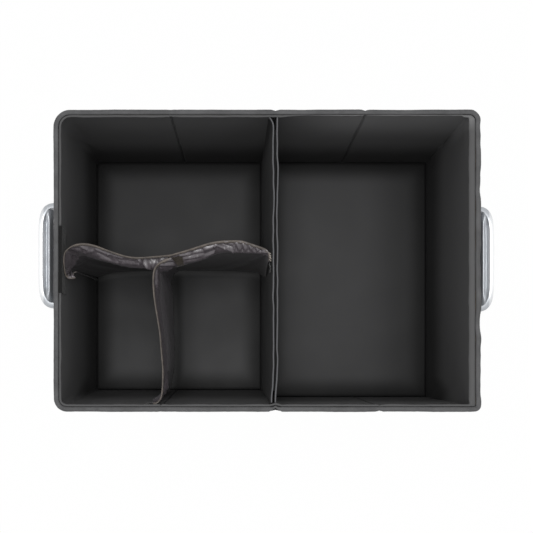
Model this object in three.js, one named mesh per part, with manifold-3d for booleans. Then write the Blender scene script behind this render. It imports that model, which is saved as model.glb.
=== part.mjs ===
// Collapsible car trunk organizer: a soft box of covered boards with a fixed divider, two loose
// cloth dividers held by hook-and-loop, and a riveted grip on each end.
// Millimetres, +X along the length, +Y to the back, +Z up, origin under the centre of the base.

import * as THREE from 'three';
import { mergeVertices } from 'three/addons/utils/BufferGeometryUtils.js';
import Module from 'manifold-3d';

const wasm = await Module();
wasm.setup();

// Driving dimensions of the box

const boxLength = 540;
const boxWidth = 382;
const boxHeight = 260;
const backLeftRadius = 21;
const frontLeftRadius = 17;
const backRightRadius = 14;
const frontRightRadius = 7;
const tightestCorner = 1.5;

// Layers of a wall, from the outside in, with the play that is left between two of them

const layerGap = 0.3;
const coverThickness = 1.2;
const boardThickness = 2.4;
const liningThickness = 1.2;
const bottomPanelThickness = 1.2;
const baseBoardThickness = 4;
const baseBoardPlay = 1;
const baseBoardBevel = 1;

// The tape that binds the top edge, and the rolled hem of the lining inside it

const bindingThickness = 0.9;
const bindingWidth = 6.2;
const bindingCapHeight = 2.7;
const bindingDrop = 12;
const hemWidth = 3;
const hemHeight = 3.2;
const hemDrop = 1.5;
const rightHemExtra = 5;
const rightLiningSlack = 4.8;
const frontLeftToeIn = 11;

// Fold lines of the long walls, where they crease as the box is collapsed

const backFoldLeft = -122;
const backFoldRight = 124;
const frontFoldLeft = -135;
const frontFoldRight = 142;
const foldDepth = 1.1;
const foldHalfWidth = 5;
const creaseHalfWidth = 2.2;
const frontNotchDepth = 4.5;
const backNotchDepth = 1.5;
const notchHalfWidth = 7.5;
const boardFoot = 6;
const boardHeadroom = 5;
const boardCornerRadius = 4;
const boardEdgePlay = 0.6;

// Fixed divider: an open-topped sleeve with a board in it, leaning a little to the left

const dividerTopX = 10.5;
const dividerLean = 9;
const dividerBoardThickness = 2.4;
const dividerClothThickness = 1.9;
const dividerBoardDrop = 8;
const dividerBackFlare = 5;
const dividerFrontDrift = 2.5;
const dividerFlareLength = 17;

// Loose cloth dividers of the left compartment

const clothThickness = 1.2;
const clothTopDrop = 12;
const clothHeight = 204;
const clothSag = 8;
const crossSway = 10;
const shortSway = 8.5;
const crossDividerY = 16.7;
const crossLeftFlap = 30;
const crossRightFlap = 20;
const shortDividerX = -139;
const shortTopDrop = 2;
const shortFrontFlap = 14;
const flapTurn = 8;
const edgeTapeThickness = 0.8;
const edgeTapeDrop = 6;

// Hook-and-loop tapes

const tapeThickness = 0.8;
const hookTapeHeight = 26;
const wallStripLength = 85;
const wallStripHeight = 28;
const stripMargin = 8;
const tapeUnderEdge = 3;
const hookMargin = 1;

// Grips, their rivets and the plates behind the end boards

const gripLength = 137.5;
const gripReach = 30.7;
const gripDepth = 14.3;
const gripHeight = 22;
const gripLegDepth = 10;
const gripSquareness = 3.5;
const gripGroove = 1.4;
const gripDrop = 40;
const leftGripY = 12;
const rightGripY = 7.5;
const footWidth = 26;
const footHeight = 48;
const footThickness = 4;
const footCornerRadius = 6;
const rivetSpacing = 32;
const rivetShankRadius = 2;
const rivetHeadRadius = 4.2;
const rivetHeadHeight = 1.9;
const rivetTailRadius = 4.2;
const rivetTailHeight = 0.9;
const rivetPlay = 0.3;
const plateThickness = 2;
const plateWeb = 0.8;
const plateMargin = 9;

// Insets of each layer from the outer face of the binding

const coverOuter = bindingThickness + layerGap;
const coverInner = coverOuter + coverThickness;
const boardOuter = coverInner + layerGap;
const boardInner = boardOuter + boardThickness;
const plateOuter = boardInner + layerGap;
const plateInner = plateOuter + plateThickness;
const sideLining = boardInner + layerGap;
const endLining = plateInner + layerGap;
const hemOuter = bindingWidth + layerGap;
const hemInner = hemOuter + hemWidth;

const clothTopZ = boxHeight - clothTopDrop;
const sideFace = sideLining + liningThickness;
const leftFace = endLining + liningThickness;
const rightFace = leftFace + rightLiningSlack;

// Heights of the layers

const liningFloor = bottomPanelThickness + layerGap;
const innerFloor = liningFloor + liningThickness;
const baseBoardZ = innerFloor + layerGap;
const baseBoardTop = baseBoardZ + baseBoardThickness;
const coverTop = boxHeight - bindingCapHeight - layerGap;
const hemTop = boxHeight - hemDrop;
const hemBottom = hemTop - hemHeight;
const liningShoulder = hemBottom - 2;

const arcSteps = 6;

// Where the two fabrics are stitched together they close up the room that a board takes elsewhere

const seamRoom = sideLining - coverInner - layerGap;

function dividerX(z) {
  return dividerTopX - dividerLean * (1 - z / boxHeight);
}

function toeIn(z) {
  const rise = (z - innerFloor) / (liningShoulder - innerFloor);
  return frontLeftToeIn * (1 - Math.min(Math.max(rise, 0), 1));
}

const backFolds = [
  { at: () => backFoldRight, depth: foldDepth, half: foldHalfWidth },
  { at: dividerX, depth: backNotchDepth, half: foldHalfWidth },
  { at: () => backFoldLeft, depth: foldDepth, half: foldHalfWidth },
];
const frontFolds = [
  { at: () => frontFoldLeft, depth: foldDepth, half: foldHalfWidth },
  { at: dividerX, depth: frontNotchDepth, half: notchHalfWidth },
  { at: () => frontFoldRight, depth: foldDepth, half: foldHalfWidth },
];

// Closed surfaces from vertices and triangles, always turned to face outward

function closedGeometry(points, triangles) {
  let volume = 0;
  for (const [a, b, c] of triangles) {
    const [p, q, r] = [points[a], points[b], points[c]];
    volume += p[0] * (q[1] * r[2] - q[2] * r[1]);
    volume += p[1] * (q[2] * r[0] - q[0] * r[2]);
    volume += p[2] * (q[0] * r[1] - q[1] * r[0]);
  }
  const facing = volume < 0 ? triangles.map(([a, b, c]) => [a, c, b]) : triangles;
  const geometry = new THREE.BufferGeometry();
  geometry.setAttribute('position', new THREE.Float32BufferAttribute(points.flat(), 3));
  geometry.setIndex(facing.flat());
  return geometry;
}

// Triangles that fill a flat outline, all wound the way the outline runs

function outlineTriangles(outline) {
  const contour = outline.map(([x, y]) => new THREE.Vector2(x, y));
  const faces = THREE.ShapeUtils.triangulateShape(contour, []);
  const turn = Math.sign(THREE.ShapeUtils.area(contour));
  return faces.map(([a, b, c]) => {
    const [p, q, r] = [contour[a], contour[b], contour[c]];
    const area = (q.x - p.x) * (r.y - p.y) - (q.y - p.y) * (r.x - p.x);
    return Math.sign(area) === turn ? [a, b, c] : [a, c, b];
  });
}

// A skin over a row of equal loops: closed on itself as a ring, or capped at both ends

function skinLoops(loops, { ring = false, outline = loops[0], cap = null } = {}) {
  const count = loops[0].length;
  const points = loops.flat();
  const triangles = [];
  const spans = ring ? loops.length : loops.length - 1;
  for (let i = 0; i < spans; i++) {
    const here = i * count;
    const next = ((i + 1) % loops.length) * count;
    for (let j = 0; j < count; j++) {
      const k = (j + 1) % count;
      triangles.push([here + j, here + k, next + k], [here + j, next + k, next + j]);
    }
  }
  if (!ring) {
    const last = (loops.length - 1) * count;
    for (const [a, b, c] of cap ?? outlineTriangles(outline)) {
      triangles.push([a, c, b], [last + a, last + b, last + c]);
    }
  }
  return closedGeometry(points, triangles);
}

// Solids that manifold-3d can cut, and the way back to a three.js geometry

function toSolid(geometry) {
  const bare = geometry.clone();
  bare.deleteAttribute('normal');
  bare.deleteAttribute('uv');
  const merged = mergeVertices(bare, 1e-4);
  return new wasm.Manifold(new wasm.Mesh({
    numProp: 3,
    vertProperties: new Float32Array(merged.attributes.position.array),
    triVerts: new Uint32Array(merged.index.array),
  }));
}

function toGeometry(solid) {
  const mesh = solid.getMesh();
  const geometry = new THREE.BufferGeometry();
  geometry.setAttribute('position', new THREE.BufferAttribute(new Float32Array(mesh.vertProperties), 3));
  geometry.setIndex(Array.from(mesh.triVerts));
  return geometry;
}

function cutAway(geometry, cutters) {
  let solid = toSolid(geometry);
  for (const cutter of cutters) {
    solid = solid.subtract(toSolid(cutter));
  }
  return toGeometry(solid);
}

// Radius of a corner on a layer that lies further in, down to the tightest turn of the cloth

function innerRadius(outerRadius, turnedIn) {
  return Math.max(outerRadius - turnedIn, tightestCorner);
}

// Plan of the box at one height and inset: four rounded corners, and three folds in each long side.
// dip(fold) says how far the middle of a fold lies inward of the side, halfOf(fold) how wide it is.

function planOutline(z, inset, { dip = () => 0, halfOf = (fold) => fold.half, toe = 0 } = {}) {
  const left = -boxLength / 2 + inset.left;
  const right = boxLength / 2 - inset.right;
  const front = -boxWidth / 2 + inset.front;
  const back = boxWidth / 2 - inset.back;
  const outline = [];
  const corner = (x, y, outerRadius, turnedIn, start) => {
    const radius = innerRadius(outerRadius, turnedIn);
    const centreX = x - Math.sign(x) * radius;
    const centreY = y - Math.sign(y) * radius;
    for (let i = 0; i <= arcSteps; i++) {
      const angle = start + (i / arcSteps) * Math.PI / 2;
      outline.push([centreX + radius * Math.cos(angle), centreY + radius * Math.sin(angle)]);
    }
  };
  const foldPoints = (fold, y, inward, walk) => {
    const x = fold.at(z);
    const half = halfOf(fold);
    outline.push([x - walk * half, y], [x, y + inward * dip(fold)], [x + walk * half, y]);
  };
  frontFolds.forEach((fold) => foldPoints(fold, front, 1, 1));
  corner(right, front, frontRightRadius, (inset.right + inset.front) / 2, -Math.PI / 2);
  corner(right, back, backRightRadius, (inset.right + inset.back) / 2, 0);
  backFolds.forEach((fold) => foldPoints(fold, back, -1, -1));
  corner(left, back, backLeftRadius, (inset.left + inset.back) / 2, Math.PI / 2);
  corner(left, front, frontLeftRadius, (inset.left + inset.front) / 2, Math.PI);
  const limit = dividerX(z);
  return outline.map(([x, y]) => {
    const inFront = y < -boxWidth / 4;
    const share = x < limit - 1 ? 1 : (x < limit + 1 ? 0.5 : 0);
    return [x, inFront ? y + toe * share : y, z];
  });
}

function evenInset(inset) {
  return { left: inset, right: inset, front: inset, back: inset };
}

// A panel with one radius for all its corners, or a list that starts at the near left one

function roundedPanel(width, height, radii) {
  const shape = new THREE.Shape();
  const [x, y] = [width / 2, height / 2];
  const [a, b, c, d] = Array.isArray(radii) ? radii : [radii, radii, radii, radii];
  shape.moveTo(-x + a, -y);
  shape.lineTo(x - b, -y);
  shape.absarc(x - b, -y + b, b, -Math.PI / 2, 0);
  shape.lineTo(x, y - c);
  shape.absarc(x - c, y - c, c, 0, Math.PI / 2);
  shape.lineTo(-x + d, y);
  shape.absarc(-x + d, y - d, d, Math.PI / 2, Math.PI);
  shape.lineTo(-x, -y + a);
  shape.absarc(-x + a, -y + a, a, Math.PI, Math.PI * 1.5);
  return shape;
}

// Group and finishes

const organizer = new THREE.Group();

const finishes = {
  cover: { color: '#26262a', roughness: 0.85, metalness: 0 },
  binding: { color: '#4a4a4d', roughness: 0.7, metalness: 0 },
  lining: { color: '#303033', roughness: 0.6, metalness: 0 },
  board: { color: '#8c8378', roughness: 0.9, metalness: 0 },
  cloth: { color: '#3a3639', roughness: 0.4, metalness: 0 },
  edgeTape: { color: '#6e6660', roughness: 0.6, metalness: 0 },
  tape: { color: '#141415', roughness: 0.95, metalness: 0 },
  grip: { color: '#b4b8bf', roughness: 0.35, metalness: 0.6 },
  steel: { color: '#8f9298', roughness: 0.4, metalness: 0.9 },
};

function addPiece(name, geometry, finish, parent = organizer) {
  const mesh = new THREE.Mesh(geometry, new THREE.MeshStandardMaterial(finishes[finish]));
  mesh.name = name;
  parent.add(mesh);
  return mesh;
}

// Outer cover, the fabric wall that runs round the box, and the panel sewn in under it

const coverDip = { dip: (fold) => fold.depth };

function coverGeometry(holes) {
  const outer = evenInset(coverOuter);
  const inner = evenInset(coverInner);
  const wall = skinLoops([
    planOutline(0, outer, coverDip),
    planOutline(coverTop, outer, coverDip),
    planOutline(coverTop, inner, coverDip),
    planOutline(0, inner, coverDip),
  ], { ring: true });
  return cutAway(wall, holes);
}

function bottomPanelGeometry() {
  const inset = evenInset(coverInner + layerGap);
  const top = planOutline(0, inset, coverDip);
  const raised = top.map(([x, y]) => [x, y, bottomPanelThickness]);
  return skinLoops([top, raised]);
}

// Lining: a bag inside the boards, with a rolled hem along its top edge

function liningGeometry() {
  const faceInset = (extra) => ({
    left: endLining + extra,
    right: endLining + rightLiningSlack + extra,
    front: sideLining + extra,
    back: sideLining + extra,
  });
  const hemInset = (reach) => ({
    left: hemOuter + reach,
    right: hemOuter + reach * (hemWidth + rightHemExtra) / hemWidth,
    front: hemOuter + reach,
    back: hemOuter + reach,
  });
  const halfOf = (fold) => (fold.depth > seamRoom ? fold.half : creaseHalfWidth);
  const creased = (z) => ({ dip: (fold) => fold.depth - seamRoom, halfOf, toe: toeIn(z) });
  const pushed = { dip: (fold) => Math.max(fold.depth - seamRoom, 0) };
  const nicked = { dip: (fold) => Math.max(fold.depth - seamRoom, -hemWidth / 3), halfOf };
  const round = hemWidth * 0.3;
  return skinLoops([
    planOutline(liningFloor, faceInset(0), creased(liningFloor)),
    planOutline(liningShoulder, faceInset(0), creased(liningShoulder)),
    planOutline(hemBottom + round, hemInset(0), pushed),
    planOutline(hemTop - round, hemInset(0), pushed),
    planOutline(hemTop, hemInset(round), pushed),
    planOutline(hemTop, hemInset(hemWidth - round), nicked),
    planOutline(hemTop - round, hemInset(hemWidth), nicked),
    planOutline(hemBottom + round, hemInset(hemWidth), nicked),
    planOutline(hemBottom, hemInset(hemWidth - round), nicked),
    planOutline(liningShoulder, faceInset(liningThickness), creased(liningShoulder)),
    planOutline(innerFloor, faceInset(liningThickness), creased(innerFloor)),
  ]);
}

// Rim binding: a rounded cap over the top edge with one leg down the outside of the cover

function bindingGeometry() {
  const outerDip = { dip: (fold) => fold.depth };
  const innerDip = { dip: (fold) => Math.max(fold.depth - seamRoom, 0) };
  const ringAt = (z, inset, options) => planOutline(z, evenInset(inset), options);
  const capBottom = boxHeight - bindingCapHeight;
  const round = bindingCapHeight * 0.45;
  return skinLoops([
    ringAt(boxHeight - bindingDrop, 0, outerDip),
    ringAt(boxHeight - round, 0, outerDip),
    ringAt(boxHeight - round * 0.3, round * 0.3, outerDip),
    ringAt(boxHeight, round, outerDip),
    ringAt(boxHeight, bindingWidth - round, innerDip),
    ringAt(boxHeight - round * 0.3, bindingWidth - round * 0.3, innerDip),
    ringAt(boxHeight - round, bindingWidth, innerDip),
    ringAt(capBottom, bindingWidth, innerDip),
    ringAt(capBottom, bindingThickness, outerDip),
    ringAt(boxHeight - bindingDrop, bindingThickness, outerDip),
  ], { ring: true });
}

// Boards sewn into the walls. A long wall has four, parted at its folds and at the divider.

const boardHead = coverTop - boardHeadroom;
const boardHeight = boardHead - boardFoot;
const boardMiddle = (boardHead + boardFoot) / 2;

function boardGeometry(width) {
  const shape = roundedPanel(width, boardHeight, boardCornerRadius);
  const geometry = new THREE.ExtrudeGeometry(shape, {
    depth: boardThickness,
    bevelEnabled: false,
    curveSegments: 4,
  });
  geometry.translate(0, 0, -boardThickness / 2);
  return geometry.rotateX(Math.PI / 2);
}

function addSideBoards(side, folds, cornerLeft, cornerRight) {
  const stops = [...folds].map((fold) => ({ x: fold.at(boxHeight), low: fold.at(0), half: fold.half }));
  stops.sort((a, b) => a.x - b.x);
  const starts = [-boxLength / 2 + cornerLeft + boardEdgePlay];
  const ends = [];
  for (const stop of stops) {
    ends.push(Math.min(stop.x, stop.low) - stop.half - boardEdgePlay);
    starts.push(Math.max(stop.x, stop.low) + stop.half + boardEdgePlay);
  }
  ends.push(boxLength / 2 - cornerRight - boardEdgePlay);
  const y = boxWidth / 2 - (boardOuter + boardInner) / 2;
  starts.forEach((start, index) => {
    const board = addPiece(`${side}_board_${index + 1}`, boardGeometry(ends[index] - start), 'board');
    board.position.set((start + ends[index]) / 2, side === 'back' ? y : -y, boardMiddle);
  });
}

function endBoardGeometry(holes, frontRadius, backRadius) {
  const front = -boxWidth / 2 + frontRadius + boardEdgePlay;
  const back = boxWidth / 2 - backRadius - boardEdgePlay;
  const panel = boardGeometry(back - front);
  panel.rotateZ(Math.PI / 2);
  panel.translate(0, (front + back) / 2, boardMiddle);
  return cutAway(panel, holes);
}

// Base boards, which only lie on the bottom of the lining

function baseBoardGeometry({ left, right, front, back, corners }) {
  const width = right - left - 2 * baseBoardBevel;
  const length = back - front - 2 * baseBoardBevel;
  const radii = corners.map((radius) => radius - baseBoardBevel);
  const geometry = new THREE.ExtrudeGeometry(roundedPanel(width, length, radii), {
    depth: baseBoardThickness - 2 * baseBoardBevel,
    bevelThickness: baseBoardBevel,
    bevelSize: baseBoardBevel,
    bevelSegments: 2,
    curveSegments: 4,
  });
  return geometry.translate(0, 0, baseBoardBevel);
}

function addBaseBoard(name, sides) {
  const board = addPiece(name, baseBoardGeometry(sides), 'lining');
  board.position.set((sides.left + sides.right) / 2, (sides.front + sides.back) / 2, baseBoardZ);
}

// Fixed divider

const sleeveInner = dividerBoardThickness / 2 + layerGap;
const sleeveOuter = sleeveInner + dividerClothThickness;
const sleeveFloor = baseBoardZ;

function dividerLeftFace(z) {
  return dividerX(z) - sleeveOuter;
}

function dividerRightFace(z) {
  return dividerX(z) + sleeveOuter;
}

function sleeveEndY(z, side) {
  const underHem = z < liningShoulder;
  const hem = underHem ? sideFace : hemInner;
  if (side === 'back') {
    return boxWidth / 2 - hem - layerGap;
  }
  const push = Math.max(frontNotchDepth - seamRoom, 0);
  return -boxWidth / 2 + hem + push + layerGap + (underHem ? toeIn(z) : 0);
}

function sleeveGeometry() {
  const round = dividerClothThickness * 0.4;
  const middle = (sleeveInner + sleeveOuter) / 2;
  const below = liningShoulder - layerGap;
  const above = hemBottom;
  const lip = [
    [sleeveOuter, below], [sleeveOuter, above], [sleeveOuter, hemTop - round],
    [middle + round / 2, hemTop], [middle - round / 2, hemTop],
    [sleeveInner, hemTop - round], [sleeveInner, above], [sleeveInner, below],
  ];
  const mirrored = [...lip].reverse().map(([x, z]) => [-x, z]);
  const section = [
    [-sleeveOuter, sleeveFloor], [sleeveOuter, sleeveFloor], ...lip,
    [sleeveInner, sleeveFloor + dividerClothThickness],
    [-sleeveInner, sleeveFloor + dividerClothThickness], ...mirrored,
  ];
  const stations = [
    { side: 'front', in: 0, drift: dividerFrontDrift, flare: 0 },
    { side: 'front', in: dividerFlareLength, drift: dividerFrontDrift / 2, flare: 0 },
    { side: 'front', in: dividerFlareLength * 3, drift: 0, flare: 0 },
    { side: 'back', in: dividerFlareLength, drift: 0, flare: 0 },
    { side: 'back', in: dividerFlareLength / 2, drift: 0, flare: dividerBackFlare * 0.3 },
    { side: 'back', in: 0, drift: 0, flare: dividerBackFlare },
  ];
  const loops = stations.map((station) => section.map(([x, z]) => {
    const inward = station.side === 'front' ? station.in : -station.in;
    const spread = x < 0 && z > innerFloor + boardFoot ? station.flare : 0;
    const rise = z / boxHeight;
    return [x + dividerX(z) - (station.drift + spread) * rise, sleeveEndY(z, station.side) + inward, z];
  }));
  return skinLoops(loops, { cap: channelCap(section.length) });
}

// Triangles over the end of the channel, laid in rungs between its outer and inner points

function channelCap(count) {
  const wall = count / 2 - 1;
  const faces = [[0, 1, wall + 1], [0, wall + 1, wall + 2]];
  for (let i = 0; i < wall / 2 - 0.5; i++) {
    const [outer, inner] = [1 + i, wall + 1 - i];
    faces.push([outer, outer + 1, inner - 1], [outer, inner - 1, inner]);
    const [leftOuter, leftInner] = [(count - i) % count, wall + 2 + i];
    faces.push([leftOuter, leftInner, leftInner + 1], [leftOuter, leftInner + 1, count - 1 - i]);
  }
  return faces;
}

function dividerBoardGeometry() {
  const bottom = sleeveFloor + dividerClothThickness + layerGap;
  const top = hemTop - dividerBoardDrop;
  const half = dividerBoardThickness / 2;
  const stations = [
    { side: 'front', in: dividerFlareLength, drift: dividerFrontDrift / 2 },
    { side: 'front', in: dividerFlareLength * 3, drift: 0 },
    { side: 'back', in: -dividerFlareLength, drift: 0 },
  ];
  const corners = [[-half, bottom], [-half, top], [half, top], [half, bottom]];
  const loops = stations.map((station) => corners.map(([x, z]) => [
    x + dividerX(z) - station.drift * z / boxHeight, sleeveEndY(z, station.side) + station.in, z,
  ]));
  return skinLoops(loops, { cap: [[0, 1, 2], [0, 2, 3]] });
}

// A slab whose plan may shift with height, for strips and boards on leaning faces

function plank(bottom, top, cornersAt) {
  return skinLoops([bottom, top].map((z) => cornersAt(z).map(([x, y]) => [x, y, z])));
}

// Cloth as a ruled surface between a waving top edge and a straighter bottom edge

function ruledCloth(topPoints, bottomPoints) {
  const asCurve = (points) => new THREE.CatmullRomCurve3(
    points.map(([x, y, z]) => new THREE.Vector3(x, y, z)), false, 'centripetal');
  const top = asCurve(topPoints);
  const bottom = asCurve(bottomPoints);
  const pointAt = (u, v) => bottom.getPointAt(u).lerp(top.getPointAt(u), v);
  const normalAt = (u, v) => {
    const step = 0.004;
    const along = pointAt(Math.min(u + step, 1), v).sub(pointAt(Math.max(u - step, 0), v));
    const up = pointAt(u, 1).sub(pointAt(u, 0));
    return along.cross(up).normalize();
  };
  return { pointAt, normalAt };
}

// A sheet of even thickness on a part of a cloth surface, moved off it by an offset

function clothSheet(cloth, { from = [0, 0], to = [1, 1], steps = [48, 4], offset = 0, thickness }) {
  const side = (distance) => {
    const grid = [];
    for (let i = 0; i <= steps[0]; i++) {
      for (let j = 0; j <= steps[1]; j++) {
        const u = from[0] + (to[0] - from[0]) * i / steps[0];
        const v = from[1] + (to[1] - from[1]) * j / steps[1];
        const point = cloth.pointAt(u, v).addScaledVector(cloth.normalAt(u, v), distance);
        grid.push(point.toArray());
      }
    }
    return grid;
  };
  const points = [...side(offset + thickness / 2), ...side(offset - thickness / 2)];
  const layer = (steps[0] + 1) * (steps[1] + 1);
  const at = (i, j) => i * (steps[1] + 1) + j;
  const triangles = [];
  const quad = (a, b, c, d) => triangles.push([a, b, c], [a, c, d]);
  for (let i = 0; i < steps[0]; i++) {
    for (let j = 0; j < steps[1]; j++) {
      quad(at(i, j), at(i + 1, j), at(i + 1, j + 1), at(i, j + 1));
      quad(layer + at(i, j), layer + at(i, j + 1), layer + at(i + 1, j + 1), layer + at(i + 1, j));
    }
    quad(at(i, 0), layer + at(i, 0), layer + at(i + 1, 0), at(i + 1, 0));
    quad(at(i, steps[1]), at(i + 1, steps[1]), layer + at(i + 1, steps[1]), layer + at(i, steps[1]));
  }
  for (let j = 0; j < steps[1]; j++) {
    quad(at(0, j), at(0, j + 1), layer + at(0, j + 1), layer + at(0, j));
    const last = steps[0];
    quad(at(last, j), layer + at(last, j), layer + at(last, j + 1), at(last, j + 1));
  }
  return closedGeometry(points, triangles);
}

// The tape folded over the top edge of a cloth divider

function edgeTapeGeometry(cloth, steps = 48) {
  const inner = clothThickness / 2 + layerGap;
  const outer = inner + edgeTapeThickness;
  const cap = layerGap + edgeTapeThickness;
  const section = [
    [-outer, -edgeTapeDrop], [-inner, -edgeTapeDrop], [-inner, layerGap], [inner, layerGap],
    [inner, -edgeTapeDrop], [outer, -edgeTapeDrop], [outer, layerGap], [inner, cap],
    [-inner, cap], [-outer, layerGap],
  ];
  const loops = [];
  for (let i = 0; i <= steps; i++) {
    const u = i / steps;
    const normal = cloth.normalAt(u, 1);
    const edge = cloth.pointAt(u, 1);
    loops.push(section.map(([off, up]) => {
      const point = edge.clone().addScaledVector(normal, off);
      return [point.x, point.y, point.z + up];
    }));
  }
  return skinLoops(loops, { outline: section });
}

// Shapes of the two cloth dividers. A wave is [share of the span, part of the sway].

const flapOffset = 3 * layerGap + 2 * tapeThickness + clothThickness / 2;
const clothFootZ = clothTopZ - clothHeight;
const crossWave = [
  [0.054, 0.58], [0.1, 0.73], [0.268, -0.57], [0.39, -0.92], [0.54, -0.17], [0.735, 0.98], [0.857, 0.73],
];
const shortWave = [
  [0.082, -0.65], [0.154, -0.94], [0.252, -0.94], [0.451, -0.04], [0.715, 0.72], [0.921, 1.02],
];
const shortFootWave = [[0.25, 0], [0.56, 0.94], [0.8, 0.76]];
const junctionShares = [0.545, 0.53, 0.515, 0.5, 0.485];

function leftFaceX() {
  return -boxLength / 2 + leftFace;
}

function frontFaceY(z) {
  return -boxWidth / 2 + sideFace + toeIn(z);
}

function crossDividerCloth() {
  const left = leftFaceX() + flapOffset;
  const edge = (z, wave, sag) => {
    const right = dividerLeftFace(z) - flapOffset;
    const turn = [
      [left, crossDividerY - crossLeftFlap, z],
      [left, crossDividerY - flapTurn - 1, z],
      [left, crossDividerY - flapTurn, z],
      [left + flapTurn / 3, crossDividerY - flapTurn / 3, z],
    ];
    const middle = wave.map(([share, bow]) => [
      left + share * (right - left), crossDividerY + bow * crossSway, z - sag * Math.sin(Math.PI * share),
    ]);
    const end = [
      [right - flapTurn / 2, crossDividerY - flapTurn / 3, z],
      [right, crossDividerY - flapTurn, z],
      [right, crossDividerY - flapTurn - 1, z],
      [right, crossDividerY - crossRightFlap, z],
    ];
    return [...turn, ...middle, ...end];
  };
  const straight = [[0.08, 0], [0.35, 0], [0.65, 0], [0.92, 0]];
  return ruledCloth(edge(clothTopZ, crossWave, clothSag), edge(clothFootZ, straight, 0));
}

function shortDividerCloth(cross) {
  const spacing = clothThickness + 3 * layerGap + 2 * tapeThickness;
  const edge = (z, v, wave, sag) => {
    const flap = junctionShares.map((share) => {
      const point = cross.pointAt(share, v).addScaledVector(cross.normalAt(share, v), spacing);
      return [point.x, point.y, z];
    });
    const back = flap[flap.length - 1][1];
    const front = frontFaceY(z) + flapOffset;
    const middle = wave.map(([share, bow]) => [
      shortDividerX + bow * shortSway, back + share * (front - back), z - sag * Math.sin(Math.PI * share),
    ]);
    const lastX = middle[middle.length - 1][0];
    const end = [
      [lastX - flapTurn / 3, front + flapTurn / 2, z],
      [lastX - flapTurn, front, z],
      [lastX - flapTurn - 1, front, z],
      [lastX - flapTurn - shortFrontFlap, front, z],
    ];
    return [...flap, ...middle, ...end];
  };
  return ruledCloth(
    edge(clothTopZ - shortTopDrop, 1, shortWave, clothSag),
    edge(clothFootZ, 0, shortFootWave, 0),
  );
}

// Hook tapes on the flaps and the loop strips that they hold to

const tapeOffset = clothThickness / 2 + layerGap + tapeThickness / 2;

function tapeOnCloth(cloth, fromU, toU, layers) {
  const top = 1 - (edgeTapeDrop + tapeUnderEdge) / clothHeight;
  return clothSheet(cloth, {
    from: [fromU, top - hookTapeHeight / clothHeight],
    to: [toU, top],
    steps: [5, 2],
    offset: tapeOffset + layers * (tapeThickness + layerGap),
    thickness: tapeThickness,
  });
}

// The long strip on the left wall laps over the hem, so it is a bent sheet run along the wall

function wallStripGeometry() {
  const wall = -boxLength / 2 + leftFace;
  const hem = -boxLength / 2 + hemInner;
  const inner = -boxLength / 2 + hemOuter;
  const far = layerGap + tapeThickness;
  const foot = hemTop - wallStripHeight;
  const shape = new THREE.Shape();
  shape.moveTo(wall + layerGap, foot);
  shape.lineTo(wall + far, foot);
  shape.lineTo(wall + far, liningShoulder - far);
  shape.lineTo(hem + far, hemBottom);
  shape.lineTo(hem + far, hemTop);
  shape.lineTo(hem, hemTop + far);
  shape.lineTo(inner + layerGap, hemTop + far);
  shape.lineTo(inner + layerGap, hemTop + layerGap);
  shape.lineTo(hem, hemTop + layerGap);
  shape.lineTo(hem + layerGap, hemTop);
  shape.lineTo(hem + layerGap, hemBottom);
  shape.lineTo(wall + layerGap, liningShoulder - far);
  const geometry = new THREE.ExtrudeGeometry(shape, { depth: wallStripLength, bevelEnabled: false });
  geometry.rotateX(Math.PI / 2);
  return geometry.translate(0, crossDividerY - crossLeftFlap / 2 + wallStripLength / 2, 0);
}

// Flat tapes on a face, in layers counted from the face: loop strip 0, hook tape 1

const tapeLayer = tapeThickness + layerGap;

function tapeOnFace(topZ, layer, cornersAt) {
  const top = topZ - edgeTapeDrop - tapeUnderEdge;
  return plank(top - hookTapeHeight, top, (z) => {
    const near = layerGap + layer * tapeLayer;
    return cornersAt(z, near, near + tapeThickness);
  });
}

function tapeOnDivider(layer, front, back) {
  return tapeOnFace(clothTopZ, layer, (z, near, far) => {
    const face = dividerLeftFace(z);
    return [[face - far, front], [face - near, front], [face - near, back], [face - far, back]];
  });
}

function tapeOnFrontWall(layer, left, right) {
  return tapeOnFace(clothTopZ - shortTopDrop, layer, (z, near, far) => {
    const face = frontFaceY(z);
    return [[left, face + near], [right, face + near], [right, face + far], [left, face + far]];
  });
}

function hookOnLeftWall(front, back) {
  const face = leftFaceX();
  return tapeOnFace(clothTopZ, 1, (z, near, far) => [
    [face + near, front], [face + far, front], [face + far, back], [face + near, back],
  ]);
}

// Grips. In their own frame the cover's outer face is x = 0 and the grip reaches out along +X.

const gripZ = boxHeight - gripDrop - gripHeight / 2;
const coverFaceX = boxLength / 2 - coverOuter;
const footY = gripLength / 2 - gripLegDepth / 2;

// Middle line of the grip as half a rounded oblong; the inner edge of the bar stays straight

function gripPath(steps = 22) {
  const outer = gripDepth / 2;
  const root = layerGap + footThickness / 2;
  const reach = coverOuter + gripReach - outer - root;
  const half = gripLength / 2 - outer;
  const squared = (value, power) => Math.sign(value) * Math.abs(value) ** power;
  const stations = [];
  for (let i = 0; i <= steps; i++) {
    const turn = (i / steps - 0.5) * Math.PI;
    const across = i % steps === 0 ? 0 : squared(Math.cos(turn), 2 / gripSquareness);
    const along = squared(Math.sin(turn), 2 / gripSquareness);
    const angle = Math.atan2(
      squared(along, gripSquareness - 1) / half, squared(across, gripSquareness - 1) / reach);
    const inner = Math.max(gripLegDepth - outer, outer - reach * (1 - across));
    stations.push({ x: root + reach * across, y: half * along, angle, inner: inner / outer });
  }
  return stations;
}

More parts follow.
